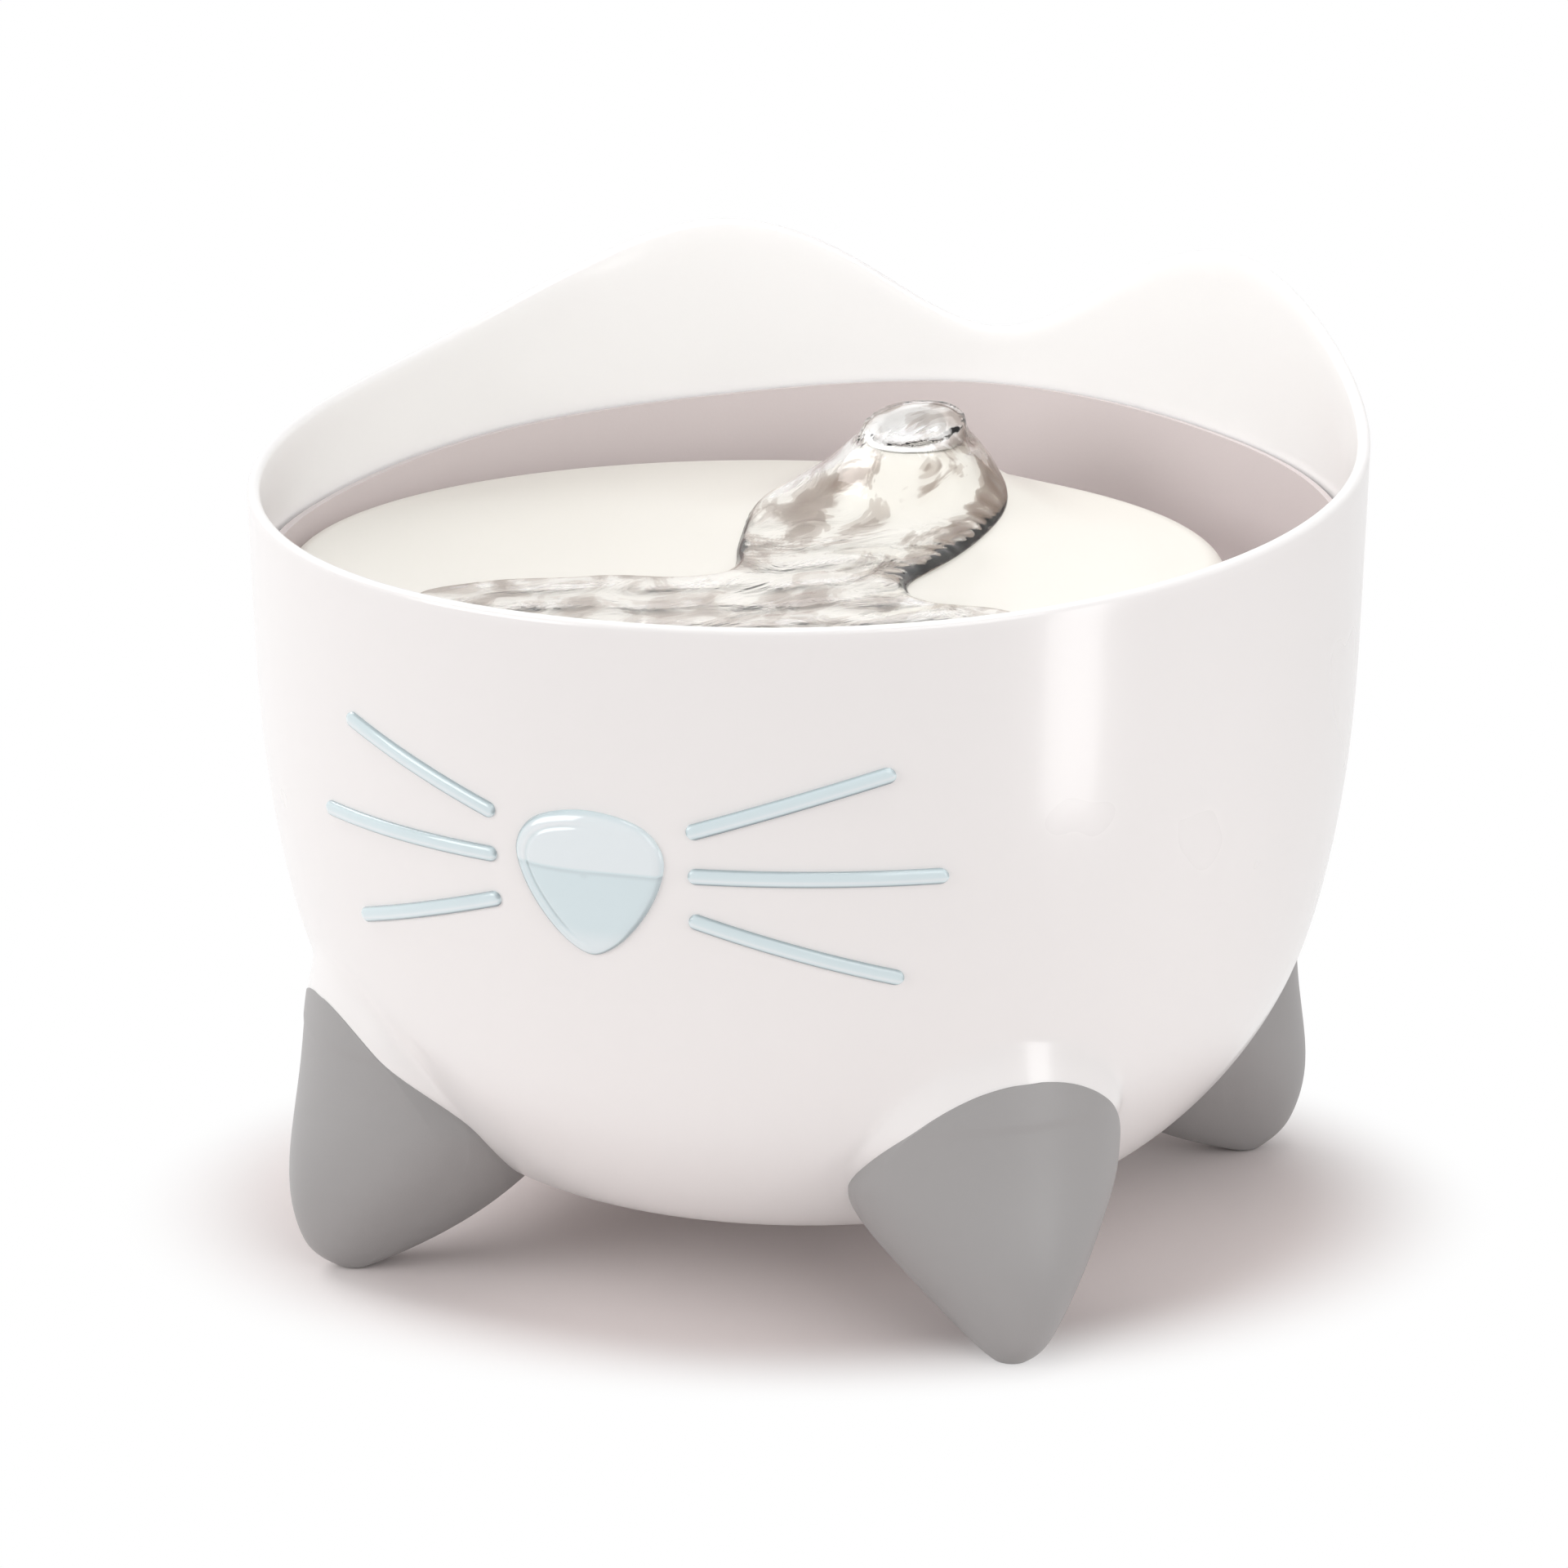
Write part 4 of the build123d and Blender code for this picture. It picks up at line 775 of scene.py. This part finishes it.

# How much brown painted reflection each kind of place in the water gets, and between which distances it comes
# in. The dashes and blots are swaying waves.
reflectionPaintPlan = {
    "dashes": (0.0, 1.9, 1.3, 0.4, 0.0, 0.0), "blots": (0.4, 0.83, 1.5, 0.0, 0.29, 0.0),
    "edge": 0.3, "edgeReach": (0.3, 1.6),
    "band": (0.12, 0.5), "bandReach": (2.5, 8),
    "patch": 0.3, "patchMiddle": (-13, 33), "patchSize": (7.5, 9), "patchSpread": 1.2,
    "lines": 0.5, "linesLeft": (-2, -10), "linesTilt": 0.3, "linesMiddle": 2, "linesHalf": 20,
    "linesEnd": (2, 12), "linesFrom": (0.1, 0.5), "breaks": (0.55, -0.2, 0.8),
    "cap": 0.12, "capReach": (16, 9), "capBehind": (-4, 4),
    "front": 0.05, "frontFrom": (-14, -26),
}


# Distance of every point from the nearest point of a line of points.
def fromLine(x, y, line):
    found = np.full(x.shape, np.inf)
    for px, py in line:
        found = np.minimum(found, (x - px) ** 2 + (y - py) ** 2)
    return np.sqrt(found)


# A wave whose crests sway: the sine of an even phase plus a slower sine.
def swayingWave(x, y, paceX, paceY, sway, swayX, swayY, swayStart):
    return np.sin(paceY * y + paceX * x + sway * np.sin(swayY * y + swayX * x + swayStart))


# Painted reflection, brown in the finish: the sum of the edge, the right-hand band with its blots, the patch
# at the upper left, the broken lines on the left, the cap behind the spout and the front.
def paintWaterReflection(x, y, inward, fromSpout, right):
    plan = reflectionPaintPlan
    patchX, patchY = plan["patchMiddle"]
    wide, high = plan["patchSize"]
    patch = np.exp(-(((x - patchX) / wide) ** 2 + ((y - patchY) / high) ** 2) / plan["patchSpread"])
    paceX, paceY, begin = plan["breaks"]
    dashes = swayingWave(x, y, *plan["dashes"]) * np.sin(paceX * x + paceY * y + begin)
    lines = easeIn(*plan["linesLeft"], x - plan["linesTilt"] * y)
    lines = lines * easeIn(*plan["linesEnd"], plan["linesHalf"] - np.abs(y - plan["linesMiddle"]))
    lines = lines * easeIn(*plan["linesFrom"], dashes)
    band = right * (1 - easeIn(*plan["bandReach"], inward))
    cap = easeIn(*plan["capReach"], fromSpout) * easeIn(*plan["capBehind"], y - spoutY)
    blots = 0.5 + 0.5 * swayingWave(x, y, *plan["blots"])
    plain, blotted = plan["band"]
    paintedReflection = plan["edge"] * (1 - easeIn(*plan["edgeReach"], inward)) + (plain + blotted * blots) * band
    paintedReflection = paintedReflection + plan["patch"] * patch + plan["lines"] * lines
    return paintedReflection + plan["cap"] * cap + plan["front"] * easeIn(*plan["frontFrom"], y)


# Rings from the pool's middle out to its outline. The underside lies on the dish and steps up over
# the spout; the top is that plus a depth that rolls off in a quarter round at the edge, joined to a
# dome over the spout. Three plane waves and an uneven ripple in the right-hand band move it.
def makeWater():
    outline = np.array(water["outline"], float)
    edge = roundOutline(outline, water["across"])
    middle = np.array(water["middle"])
    share = 1 - np.linspace(1, 0, water["rings"])[:, None, None] ** water["spread"]
    flat = middle + np.maximum(share, water["inner"]) * (edge - middle)
    x, y = flat[..., 0], flat[..., 1]
    inward = fromLine(x, y, roundOutline(outline, water["fine"], closed=True))
    inward[-1] = 0
    roll = np.sqrt(1 - (1 - np.clip(inward / water["edge"], 0, 1)) ** 2)
    fromSpout = np.hypot(x - spoutX, y - spoutY)
    mouth = water["mouth"] + (nozzle["rise"] + nozzle["slope"] * (y - spoutY))
    base = dishTop(x, y)
    base = base + np.maximum(mouth - base, 0) * easeIn(*water["step"], fromSpout) + water["lift"]
    wave = sum(size * np.sin(paceX * x + paceY * y + begin) for paceX, paceY, begin, size in water["waves"])
    right = easeIn(*water["right"][0], x) * easeIn(*water["right"][1], y)
    level, size, pace, begin = water["swell"]
    uneven = swayingWave(x, y, *water["uneven"]) * (level + size * np.sin(pace * y + begin))
    wave = wave + water["unevenSize"] * right * (1 - easeIn(*water["unevenReach"], inward)) * uneven
    nearSpout = easeIn(*water["thinFrom"], fromSpout)
    sheet = base + roll * (water["depth"] - water["thinner"] * nearSpout + water["ripple"] * wave)
    high, fall = water["dome"]
    dome = high - fall * fromSpout**2 + water["domeLean"] * (y - spoutY)
    fillet = water["fillet"] * easeIn(*water["filletFrom"], inward)
    top = np.where(inward > water["filletFrom"][0], filletMax(sheet, dome, fillet), sheet)
    top[-1] = base[-1]
    upper = np.stack([x, y, top], -1)
    lower = np.stack([x, y, base], -1)[-2::-1]
    piece = closedSkin("water", np.concatenate([upper, lower]), [upper[0].mean(0), lower[-1].mean(0)])
    # Painted reflection, stored on every point for the finish.
    paintedReflection = paintWaterReflection(x, y, inward, fromSpout, right)
    values = np.concatenate([paintedReflection.ravel(), paintedReflection[-2::-1].ravel(), [paintedReflection[0].mean(), paintedReflection[0].mean()]])
    paintPoints(piece, "paintedReflection", values)
    return piece


waterBody = makeWater()
waterBody.data.materials.append(finishes["water"])
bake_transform(waterBody)
print("water made")

# Nose window: a domed lens in the shape of a rounded triangle.
nose = {
    "half": [(6.2, 104.3), (11.2, 102.0), (13.8, 97.6), (13.3, 93.2), (11.2, 88.4), (7.3, 83.0),
             (2.9, 79.3)],
    "top": 105.1, "tip": 78.3, "middle": 93.0, "edge": 2.0, "proud": 1.1, "dome": 0.9,
    "depth": 2.0, "rows": 60, "across": 220, "inner": 0.04, "spread": 0.7, "rearStep": 4,
    # a groove along the left side: depth, distance in, width, and where it comes in along x
    "groove": 0.22, "grooveIn": 2.7, "grooveWide": 0.4, "left": (2, -7),
    # the water line: height, fall to the right, wave's size and pace, softness
    "waterLine": 94.9, "lineFall": 0.05, "lineWave": (0.4, 0.16), "lineSoft": 0.25,
    # brightness above the line and at the tip
    "above": 0.75, "tipBright": 0.5, "tipFrom": (84.5, 80.5),
    # size, distance and width: dark under the line, a painted highlight beside the groove, painted shade in
    # it
    "underLine": (0.16, 0.5, 0.35), "byGroove": (0.3, 0.6, 0.35), "inGroove": (0.35, 0.0, 0.25),
    # painted shade on the edge: level, how much it clears towards the light, the light's direction, reach
    "rim": 0.6, "rimClears": 0.4, "rimLight": (0.75, 0.65), "rimReach": (1.0, 0.25),
}


# Point on the bowl's face at a distance from the middle and a height, moved out by a lift that
# follows the skin's own slope.
def onFace(x, z, lift):
    radius = skinRadius(z)
    slope = (skinRadius(z + 1) - skinRadius(z - 1)) / 2
    steep = np.sqrt(1 + slope**2)
    across = x / radius
    y = -np.sqrt(np.maximum(radius**2 - x**2, 0))
    out = np.stack([across / steep, y / radius / steep, -slope / steep + 0 * x], -1)
    return np.stack([x, y, z + 0 * x], -1) + out * np.asarray(lift)[..., None]


# Bright above the water line and at the tip, dark at the edge and just under the line. The dark edge is
# painted shade, lighter on the light's side, and the groove has a painted highlight beside it and painted
# shade in it. A point has its place x, z, its distance in from the edge, its share of the left side and, for
# its part of the edge, the direction out from the middle.
def noseTone(x, z, inset, left, towards):
    size, pace = nose["lineWave"]
    line = nose["waterLine"] - nose["lineFall"] * x + size * np.sin(pace * x)
    toneAndPaintedLight = nose["above"] * easeIn(-nose["lineSoft"], nose["lineSoft"], z - line)
    toneAndPaintedLight = toneAndPaintedLight + nose["tipBright"] * easeIn(*nose["tipFrom"], z)
    size, under, width = nose["underLine"]
    toneAndPaintedLight = toneAndPaintedLight - size * bell(z - line + under, width)
    grooves = [size * bell(inset - nose["grooveIn"] + beside, width)
               for size, beside, width in (nose["byGroove"], nose["inGroove"])]
    toneAndPaintedLight = toneAndPaintedLight + left * (grooves[0] - grooves[1])
    toLight = nose["rimLight"][0] * towards[:, 0] + nose["rimLight"][1] * towards[:, 1]
    dark = (nose["rim"] - nose["rimClears"] * toLight) * easeIn(*nose["rimReach"], inset)
    return toneAndPaintedLight * (1 - dark) - dark


# Rings from the middle out to the outline, lifted off the face by a quarter-round edge, a low dome
# and the groove, and closed by coarser rings behind.
def makeNose():
    half = np.array(nose["half"])
    outline = np.concatenate([[(0, nose["top"])], half, [(0, nose["tip"])], half[::-1] * (-1, 1)])
    edge = roundOutline(outline, nose["across"])
    middle = np.array([0.0, nose["middle"]])
    reach = np.linalg.norm(edge - middle, axis=1)
    share = np.linspace(nose["inner"], 1, nose["rows"])[:, None] ** nose["spread"]
    flat = middle + share[..., None] * (edge - middle)
    inset = (1 - share) * reach
    roll = 1 - np.clip(inset / nose["edge"], 0, 1)
    lift = nose["proud"] * np.sqrt(1 - roll**2) + nose["dome"] * (1 - share**2)
    x, z = flat[..., 0], flat[..., 1]
    left = easeIn(*nose["left"], x)
    lift = lift - nose["groove"] * left * bell(inset - nose["grooveIn"], nose["grooveWide"])
    front = onFace(x, z, lift)
    rear = flat[::-nose["rearStep"]]
    rear = onFace(rear[..., 0], rear[..., 1], np.full_like(rear[..., 0], -nose["depth"]))
    rows = np.concatenate([front, rear])
    piece = closedSkin("noseWindow", rows, [rows[0].mean(0), rows[-1].mean(0)])
    toneAndPaintedLight = noseTone(x, z, inset, left, (edge - middle) / reach[:, None])
    paintPoints(piece, "toneAndPaintedLight", np.concatenate([toneAndPaintedLight.ravel(), toneAndPaintedLight[::-nose["rearStep"]].ravel(), [0, 0]]))
    return piece


dress(makeNose(), "bowl", "face_blue", "nose_window")

# Whiskers: round-ended bars that follow the face.
whiskers = {
    "ends": {
        "upper": ((18.0, 102.3), (51.8, 113.6)),
        "middle": ((18.0, 94.6), (59.3, 94.6)),
        "lower": ((17.8, 86.6), (51.8, 75.6)),
    },
    "width": 2.9, "proud": 0.9, "depth": 0.85, "rows": 90, "across": 28,
    # angle left out at each end, powers that square the section, and the least lift at an end
    "endAngle": 0.06, "squareAcross": 0.8, "squareLift": 0.7, "leastLift": 0.05,
    # painted light across the bar: a painted highlight's size, place and width; then size and limits of the
    # painted shade on the lower edge, the upper edge and the ends
    "bright": (0.8, 0.25, 0.2), "darkBelow": (0.85, (-0.55, -0.85)),
    "darkAbove": (0.45, (0.8, 1.0)), "darkTips": (0.5, (0.0, 0.5)),
}


# A bar's section is a squared oval; the bar narrows to nothing in a half circle at each end.
def makeWhisker(name, start, end):
    start, end = np.array(start), np.array(end)
    length = np.linalg.norm(end - start)
    half = whiskers["width"] / 2
    turned = np.linspace(whiskers["endAngle"], math.pi - whiskers["endAngle"], whiskers["rows"])
    ease = 0.5 - 0.5 * np.cos(turned)
    along = (ease * length)[:, None]
    nearEnd = np.clip(np.minimum(along, length - along) / half, 0, 1)
    width = half * np.sqrt(1 - (1 - nearEnd) ** 2)
    angle = np.linspace(0, 2 * math.pi, whiskers["across"], endpoint=False)[None, :]
    c, s = np.cos(angle), np.sin(angle)
    across = width * np.sign(c) * np.abs(c) ** whiskers["squareAcross"]
    lift = np.sign(s) * np.abs(s) ** whiskers["squareLift"]
    lift = np.where(lift > 0, lift * whiskers["proud"], lift * whiskers["depth"])
    lift = lift * np.sqrt(np.maximum(width / half, whiskers["leastLift"]))
    run = (end - start) / length
    x = start[0] + along * run[0] - across * run[1]
    z = start[1] + along * run[1] + across * run[0]
    rows = onFace(x, z, lift + 0 * x)
    piece = closedSkin(name, rows, [rows[0].mean(0), rows[-1].mean(0)])
    # Painted light for the finish: a highlight along the bar, and shade on its lower and upper edges and at
    # its ends.
    upward = across * np.sign(run[0]) / half
    size, place, wide = whiskers["bright"]
    toneAndPaintedLight = size * bell(upward + place, wide)
    for size, limits in (whiskers["darkBelow"], whiskers["darkAbove"]):
        toneAndPaintedLight = toneAndPaintedLight - size * easeIn(*limits, upward)
    size, limits = whiskers["darkTips"]
    toneAndPaintedLight = toneAndPaintedLight - size * (1 - easeIn(*limits, nearEnd))
    paintPoints(piece, "toneAndPaintedLight", np.concatenate([(toneAndPaintedLight + 0 * x).ravel(), [0, 0]]))
    return piece


for row, (start, end) in whiskers["ends"].items():
    for side, sign in (("left", -1), ("right", 1)):
        bar = makeWhisker("whisker" + row.title() + side.title(), (sign * start[0], start[1]),
                          (sign * end[0], end[1]))
        dress(bar, "bowl", "face_blue", f"whisker_{row}_{side}")
print("face made")

# The other solids keep their shape and take their slot's finish.
slotOf = {part["node"]: part["material_slot"] for part in frame["record"]["subparts"]}
for name, solid in frame["nodes"].items():
    solid.data.materials.clear()
    solid.data.materials.append(finishes[slotOf[name]])
print("solids dressed:", len(slotOf))

# Floor, lamps and background.
studio = {
    "floorHalf": 4.0, "floorColour": (0.92, 0.855, 0.845, 1),
    # how much of the floor's white is its own near the piece and far from it, the distances between
    # which it grows, and the turn in degrees and the shape of the ovals that it grows along
    "floorGlow": (0.0, 1.0), "glowFrom": (0.092, 0.134),
    "glowTurn": 21.9, "glowShape": (1.0, 0.8, 1.0),
    "fill": (1.0, 0.97, 0.96), "fillStrength": 0.39,
    # place, target, size, power, colour
    "lamps": {
        "key": ((-1.1, 0.3, 1.2), (0, 0, 0.09), (0.8, 0.8), 8.5, (1.0, 1.0, 1.0)),
        "leftLow": ((-1.0, -1.1, 0.5), (0, 0, 0.09), (0.9, 0.7), 7.8, (1.0, 1.0, 1.0)),
        "above": ((0.10, -0.06, 0.40), (-0.06, 0.07, 0.14), (0.2, 0.1), 0.5, (1.0, 1.0, 1.0)),
        "rightFront": ((1.1, -0.9, 0.75), (0, 0, 0.09), (0.8, 0.8), 3.6, (1.0, 1.0, 1.0)),
        "rightStrip": ((0.294, -0.119, 0.085), (0, 0, 0.085), (0.06, 0.14), 0.10, (1.0, 1.0, 1.0)),
    },
}


def makeLamp(name, place, target, size, power, colour):
    lamp = bpy.data.lights.new(name, "AREA")
    lamp.shape = "RECTANGLE"
    lamp.size, lamp.size_y = size
    lamp.energy = power
    lamp.color = colour
    lampObject = bpy.data.objects.new(name, lamp)
    aim = Vector(target) - Vector(place)
    lampObject.matrix_world = Matrix.Translation(place) @ aim.to_track_quat("-Z", "Y").to_matrix().to_4x4()
    lampObject.visible_camera = False
    bpy.context.scene.collection.objects.link(lampObject)


for name, plan in studio["lamps"].items():
    makeLamp(name, *plan)


# True where a ray from the camera, a reflection or a clear piece sees the surface.
def seenMask(tree):
    path = tree.nodes.new("ShaderNodeLightPath").outputs
    either = mathOf(tree, "MAXIMUM", path["Is Camera Ray"], path["Is Glossy Ray"])
    return mathOf(tree, "MAXIMUM", either, path["Is Transmission Ray"])


world = bpy.data.worlds.new("studio")
bpy.context.scene.world = world
world.use_nodes = True
tree = world.node_tree
tree.nodes.clear()
fill = addNode(tree, "ShaderNodeBackground",
               {"Color": (*studio["fill"], 1), "Strength": studio["fillStrength"]})
white = addNode(tree, "ShaderNodeBackground", {"Color": (1, 1, 1, 1), "Strength": 1.0})
shown = addNode(tree, "ShaderNodeMixShader", {0: seenMask(tree), 1: fill.outputs[0], 2: white.outputs[0]})
tree.links.new(shown.outputs[0], tree.nodes.new("ShaderNodeOutputWorld").inputs[0])

floorMesh = bpy.data.meshes.new("floor")
half = studio["floorHalf"]
floorCorners = [(-half, -half, 0), (half, -half, 0), (half, half, 0), (-half, half, 0)]
floorMesh.from_pydata(floorCorners, [], [(0, 1, 2, 3)])
floor = bpy.data.objects.new("floor", floorMesh)
bpy.context.scene.collection.objects.link(floor)
floorFinish = bpy.data.materials.new("floorPaper")
floorFinish.use_nodes = True
tree = floorFinish.node_tree
tree.nodes.clear()
paper = addNode(tree, "ShaderNodeBsdfDiffuse", {"Color": studio["floorColour"]})
glow = addNode(tree, "ShaderNodeEmission", {"Color": (1, 1, 1, 1), "Strength": 1.0})
oval = addNode(tree, "ShaderNodeMapping", {
    "Vector": ownPlace(tree),
    "Rotation": (0.0, 0.0, math.radians(studio["glowTurn"])),
    "Scale": studio["glowShape"]}, vector_type="TEXTURE")
fromMiddle = addNode(tree, "ShaderNodeVectorMath", {0: oval.outputs[0]}, operation="LENGTH")
spread = addNode(tree, "ShaderNodeMapRange", {
    "Value": fromMiddle.outputs["Value"],
    "From Min": studio["glowFrom"][0], "From Max": studio["glowFrom"][1],
    "To Min": studio["floorGlow"][0], "To Max": studio["floorGlow"][1]}, interpolation_type="SMOOTHSTEP")
amount = mathOf(tree, "MULTIPLY", seenMask(tree), spread.outputs[0])
lit = addNode(tree, "ShaderNodeMixShader", {0: amount, 1: paper.outputs[0], 2: glow.outputs[0]})
tree.links.new(lit.outputs[0], tree.nodes.new("ShaderNodeOutputMaterial").inputs[0])
floor.data.materials.append(floorFinish)
print("studio made")
